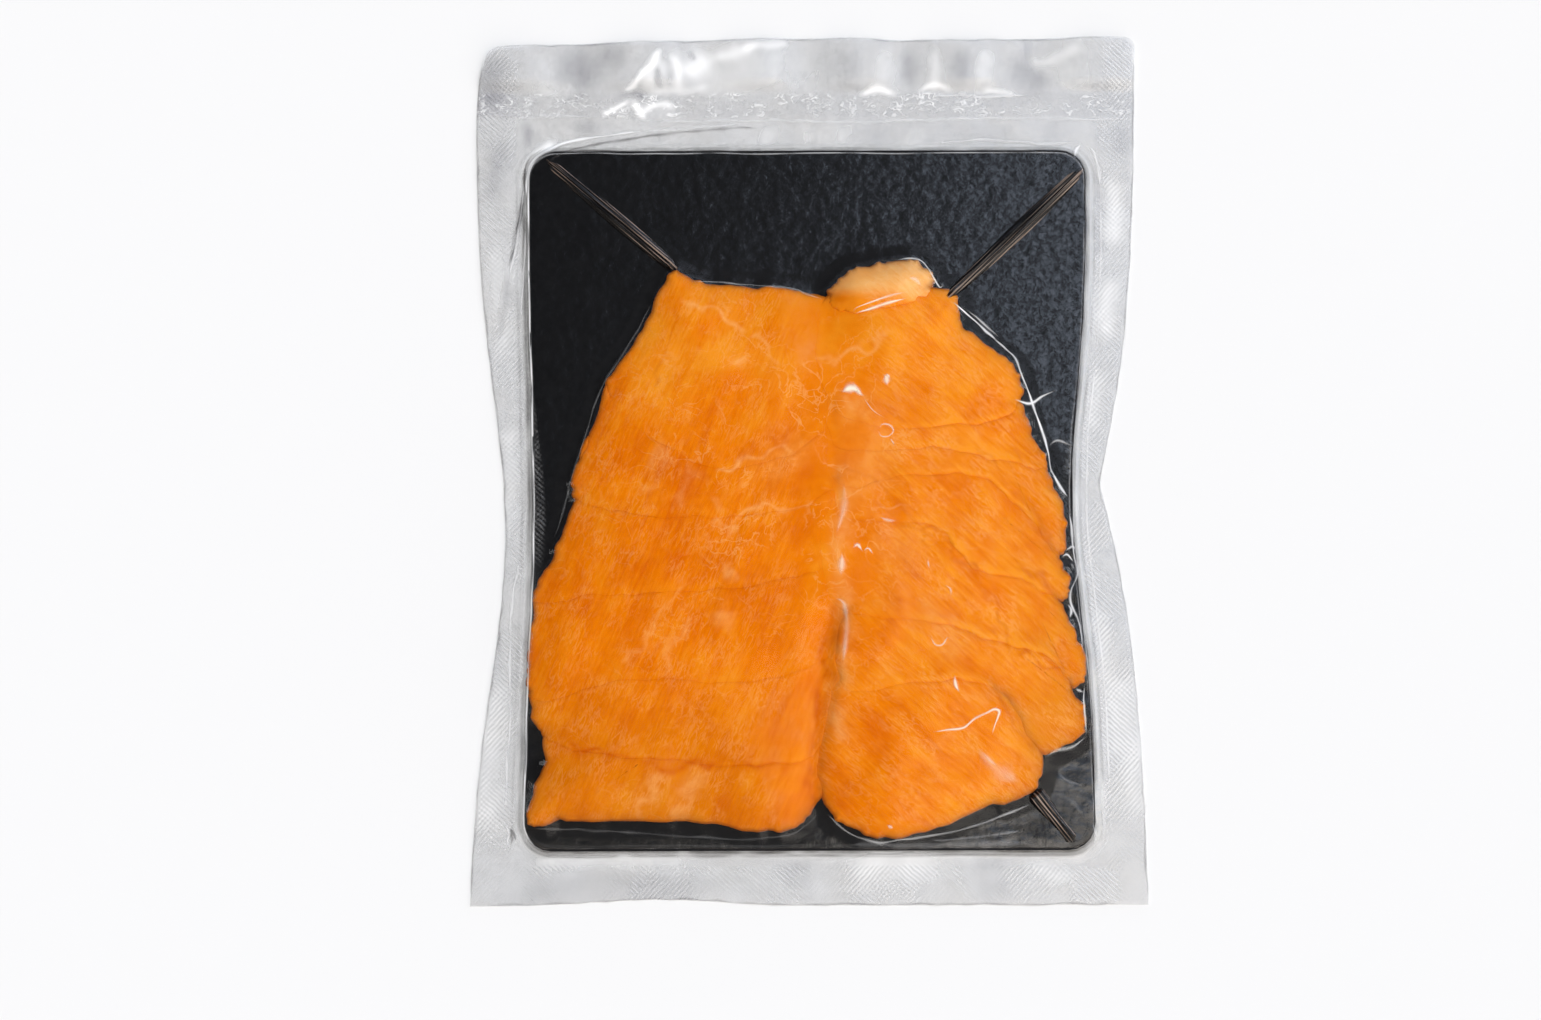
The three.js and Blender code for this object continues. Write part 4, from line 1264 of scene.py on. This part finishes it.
def film_material():
    """Clear film: glossy where it hugs the contents, a little milky outside them, embossed where welded."""
    material, n, out = new_material("clear_film")
    place = n.add("ShaderNodeTexCoord").outputs["Object"]
    haze, seal, band = n.attribute("haze"), n.attribute("seal"), n.attribute("band")
    wet, tent, sheen = n.attribute("wet"), n.attribute("tent"), n.attribute("sheen")
    lines = [
        n.add("ShaderNodeTexWave", {
            "Vector": n.stretched(place, (1, 1, 1), math.radians(turn)), "Scale": HATCH_SCALE,
            "Distortion": 2.2, "Detail": 2.0, "Detail Scale": 1.2}).outputs[1]
        for turn in (42, -48)]
    turned = n.span(n.noise(place, 45, 1), 0.4, 0.6)
    hatch = n.blend(turned, *lines)
    patchy = n.span(n.noise(place, 60, 2), 0.35, 0.65, 0.35, 1)
    embossed = n.times(hatch, seal, patchy)
    sunk = n.times(n.minus(1.0, hatch), seal, patchy)
    cloud = n.span(n.noise(n.stretched(place, (1, 0.6, 1)), 70, 4, 0.5), 0.3, 0.7, 0.15, 0.85)
    grain = n.noise(place, 620, 3)
    curls = n.thin_line(n.noise(n.stretched(place, (0.7, 1.2, 1)), 420, 2, 0.8), 0.05)
    crumple = n.times(curls, n.math("MULTIPLY", band, n.span(n.noise(place, 170, 2), 0.4, 0.6)))
    held_back = n.total(n.times(embossed, 0.4), n.span(seal, 0, 1, 1.0, 0.75))
    # painted light and shade: the sheen strokes turn the film white where it shines and grey where it is
    # shaded
    shine = n.times(n.math("MAXIMUM", sheen, 0.0), held_back)
    white = n.total(shine, n.times(crumple, 0.6), n.times(embossed, 0.06))
    white = n.math("MINIMUM", white, 1.0)
    dark = n.total(n.math("MAXIMUM", n.times(sheen, -1.0), 0.0), n.times(band, 0.14), n.times(sunk, 0.11))
    welded = n.times(n.minus(embossed, n.times(seal, 0.3)), 0.55)
    milk = n.total(cloud, welded, n.times(band, n.minus(grain, 0.5), 0.8))
    veil = n.times(haze, n.span(milk, 0.3, 0.85, 0.2, 0.42))
    bare = [n.minus(1.0, part) for part in (veil, white, n.times(dark, 0.5))]
    cover = n.minus(1.0, n.times(*bare))
    white_share = n.math("DIVIDE", white, n.math("ADD", cover, 0.01), True)
    tint = n.colour(n.span(n.noise(place, 55, 1), 0.35, 0.65), MILK_WARM, MILK_COOL)
    milk_colour = n.colour(n.span(milk, 0.35, 0.8), tint, MILK_PALE)
    milk_colour = n.colour(n.math("MULTIPLY", dark, 1.6, True), milk_colour, MILK_SHADED)
    milk_colour = n.colour(white_share, milk_colour, FILM_WHITE)
    on_card = n.minus(1.0, n.math("MAXIMUM", haze, wet))
    leather = n.times(n.noise(place, 520, 4, 0.4), on_card, 1.6)
    height = n.total(n.times(grain, 0.4), n.times(embossed, 1.3), leather, n.times(crumple, 0.6))
    bump = n.add("ShaderNodeBump", {"Strength": 0.22, "Distance": 0.0002, "Height": height})
    layers = n.math("MULTIPLY", n.span(wet, 0, 1, 1.9, 0.2), n.span(tent, 0, 1, 1.0, 0.25))
    leathery = n.span(n.noise(place, 680, 5, 0.9), 0.34, 0.66, 0.42, 1.58)
    streaky = n.span(n.noise(n.stretched(place, (0.5, 1.6, 1), -0.5), 150, 4, 0.7), 0.34, 0.66, 0.62, 1.55)
    upper = n.span(n.add("ShaderNodeSeparateXYZ", {0: place}).outputs[1], -0.085, -0.065)
    layers = n.times(layers, n.blend(upper, streaky, leathery))
    fresnel = n.add("ShaderNodeFresnel", {"IOR": 1.5, "Normal": bump}).outputs[0]
    gloss = n.math("MULTIPLY", fresnel, layers, True)
    shader = n.add(
        "ShaderNodeBsdfPrincipled",
        {"Base Color": n.colour(haze, CLEAR, milk_colour),
         "Metallic": n.times(n.span(haze, 0, 1, 1.0, 0.3), n.minus(1.0, white_share)),
         "Roughness": n.span(haze, 0, 1, 0.09, 0.24),
         "Normal": bump})
    show_through(n, out, n.math("MAXIMUM", cover, gloss), shader, 0.985)
    return material


def crease_material():
    """Painted highlight and shade along a crease of the film, fading out to nothing at the sides, warmer over
    the fish.
    """
    material, n, out = new_material("creased_film")
    bright = n.attribute("bright")
    dark = n.math("MULTIPLY", bright, -1.0)
    white = n.colour(n.attribute("warm"), (0.95, 0.95, 0.96, 1), (1.0, 0.9, 0.72, 1))
    shader = n.add(
        "ShaderNodeBsdfPrincipled",
        {"Base Color": n.colour(n.span(dark, 0, 0.1), white, (0.06, 0.05, 0.045, 1)),
         "Roughness": 0.25})
    show_through(n, out, n.math("MULTIPLY", n.math("MAXIMUM", bright, dark), 1.0, True), shader)
    return material


def fold_material():
    """Film gathered into a fold of many layers, dark, with pale brownish streaks along its length painted as
    reflections.
    """
    material, n, out = new_material("folded_film")
    uv = n.add("ShaderNodeUVMap", uv_map="UVMap").outputs[0]
    streak = n.noise(n.stretched(uv, (0.25, 19, 1)), 1.0, 2, 0.15)
    bump = n.add("ShaderNodeBump", {"Strength": 0.3, "Distance": 0.0003, "Height": streak})
    tone = n.colour(n.span(streak, 0.52, 0.66), srgb(12, 10, 10), srgb(162, 141, 127))
    shader = n.add("ShaderNodeBsdfPrincipled", {"Base Color": tone, "Roughness": 0.22, "Normal": bump})
    show_through(n, out, n.span(streak, 0.3, 0.6, 0.85, 0.97), shader, 0.9)
    return material


# ---- the pieces -----------------------------------------------------------------------------------------

# the fifth tone is the painted shade of the seams
SALMON = [srgb(204, 94, 0), srgb(221, 118, 2), srgb(230, 141, 28), srgb(236, 176, 108), srgb(190, 78, 0)]
PALE_SALMON = [
    srgb(226, 144, 60), srgb(234, 162, 82), srgb(238, 182, 112), srgb(240, 200, 148), srgb(212, 112, 16)]
salmon = salmon_material("smoked_salmon", SALMON)
pale_salmon = salmon_material("pale_salmon", PALE_SALMON, SALMON)
for slice_name in SLICES:
    folded = slice_name == "slice_fold"
    flesh = pale_salmon if folded else salmon
    slot = "salmon_pale" if folded else "salmon"
    piece("flesh_" + slice_name[6:], slice_mesh(slice_name), flesh, slot, slice_name)

film = film_material()
for sheet in (
        grid_mesh("film_front", 300, 330, front_sheet(POUCH_BOTTOM, SEAL_BAND[1])),
        grid_mesh("film_header", 300, 40, front_sheet(SEAL_BAND[1], POUCH_TOP)),
        grid_mesh("film_back", 60, 80, back_sheet)):
    if sheet.name != "film_back":
        dress_film(sheet)
    piece(sheet.name, sheet, film, "film", "pouch")

creased_film = crease_material()
strips = [crease_strip(i, *crease) for i, crease in enumerate(CREASE_GLINTS_AND_SHADE + cut_edges())]
piece("film_creases", joined_strips("film_creases", strips), creased_film, "film", "pouch")
piece("film_edge_folds", joined_strips("film_edge_folds", [edge_strip()]), creased_film, "film", "pouch")
folded_film = fold_material()
for i, fold in enumerate(FOLDS):
    fold_name = f"film_fold_{i + 1}"
    piece(fold_name, fold_mesh(fold_name, *fold), folded_film, "film", "pouch")

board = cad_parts["board"]
board.data.materials.clear()
board.data.materials.append(board_material())

# ---- stage, light and camera ----------------------------------------------------------------------------


FLOOR_GREY = 0.775
FLOOR_HALF = 3000
FLOOR_DROP = 0.2  # it lies just under the lower film


def make_floor():
    bm = bmesh.new()
    bmesh.ops.create_grid(bm, x_segments=1, y_segments=1, size=FLOOR_HALF * MM)
    bmesh.ops.translate(bm, verts=bm.verts, vec=(0, 0, -FLOOR_DROP * MM))
    mesh = bpy.data.meshes.new("floor")
    bm.to_mesh(mesh)
    bm.free()
    floor = bpy.data.objects.new("floor", mesh)
    bpy.context.scene.collection.objects.link(floor)
    material, n, out = new_material("white_table")
    n.put(out.inputs["Surface"], n.add(
        "ShaderNodeBsdfPrincipled",
        {"Base Color": (FLOOR_GREY, FLOOR_GREY, FLOOR_GREY, 1), "Roughness": 0.9, "Specular IOR Level": 0.0}))
    mesh.materials.append(material)


def make_world():
    """A dim ceiling, lighter to the right and in front, with a bright band low down all round."""
    world = bpy.data.worlds.new("studio")
    bpy.context.scene.world = world
    world.use_nodes = True
    world.node_tree.nodes.clear()
    n = Nodes(world.node_tree)
    axes = n.add("ShaderNodeSeparateXYZ", {0: n.add("ShaderNodeTexCoord").outputs["Generated"]})
    x, y, z = axes.outputs
    low = n.math("MULTIPLY", n.span(z, 0.32, 0.15, 0.0, 0.6), n.span(x, -0.07, 0.06, 0.6, 1.0))
    middle = n.span(x, -0.09, 0.02, 0.01, 0.1)
    right = n.span(x, 0.02, 0.17, 0.0, 0.7)
    near = n.span(y, 0.0, -0.08)
    front = n.math("MULTIPLY", near, n.span(x, -0.03, 0.1, 0.13, 0.5))
    strength = n.total(low, middle, right, front)
    tint = n.colour(near, (0.84, 0.96, 1.18, 1), (1.08, 1.0, 0.91, 1))
    sky = n.add("ShaderNodeBackground", {"Color": tint, "Strength": strength})
    n.put(n.add("ShaderNodeOutputWorld").inputs["Surface"], sky)


def hang(name, light, place):
    """Hangs a light at a place in metres, aimed at the middle of the pack."""
    obj = bpy.data.objects.new(name, light)
    obj.location = place
    obj.rotation_euler = (Vector() - Vector(place)).to_track_quat("-Z", "Y").to_euler()
    bpy.context.scene.collection.objects.link(obj)
    return obj


def softbox(name, place, size, watts):
    """A tall panel of light that only shows as a reflection."""
    light = bpy.data.lights.new(name, "AREA")
    light.shape = "RECTANGLE"
    light.size, light.size_y = size
    light.energy = watts
    hang(name, light, place).visible_diffuse = False


def overhead_light(strength):
    """Even light from above that leaves no glare of its own on the film."""
    light = bpy.data.lights.new("overhead", "SUN")
    light.energy = strength
    light.angle = math.radians(70)
    hang("overhead", light, (0, 0, 2)).visible_glossy = False


CAMERA_PLACE = (-11.085, -57.87, 622.97)
CAMERA_TILT = 4.943  # in degrees, like its roll
CAMERA_ROLL = -0.155


def make_camera():
    camera = bpy.data.cameras.new("camera")
    camera.lens = 50
    camera.sensor_width = 36
    obj = bpy.data.objects.new("camera", camera)
    x, y, z = CAMERA_PLACE
    obj.location = Vector((x, y + MIDDLE_Y, z)) * MM
    obj.rotation_euler = Euler((math.radians(CAMERA_TILT), 0, math.radians(CAMERA_ROLL)))
    bpy.context.scene.collection.objects.link(obj)
    bpy.context.scene.camera = obj


make_floor()
make_world()
overhead_light(strength=2.25)
softbox("softbox_right", place=(1.3, 0.6, 0.3), size=(0.2, 0.6), watts=1.2)
softbox("softbox_left", place=(-1.3, 0.1, 0.3), size=(0.2, 0.6), watts=0.8)
make_camera()
bpy.context.scene.view_settings.view_transform = "Standard"
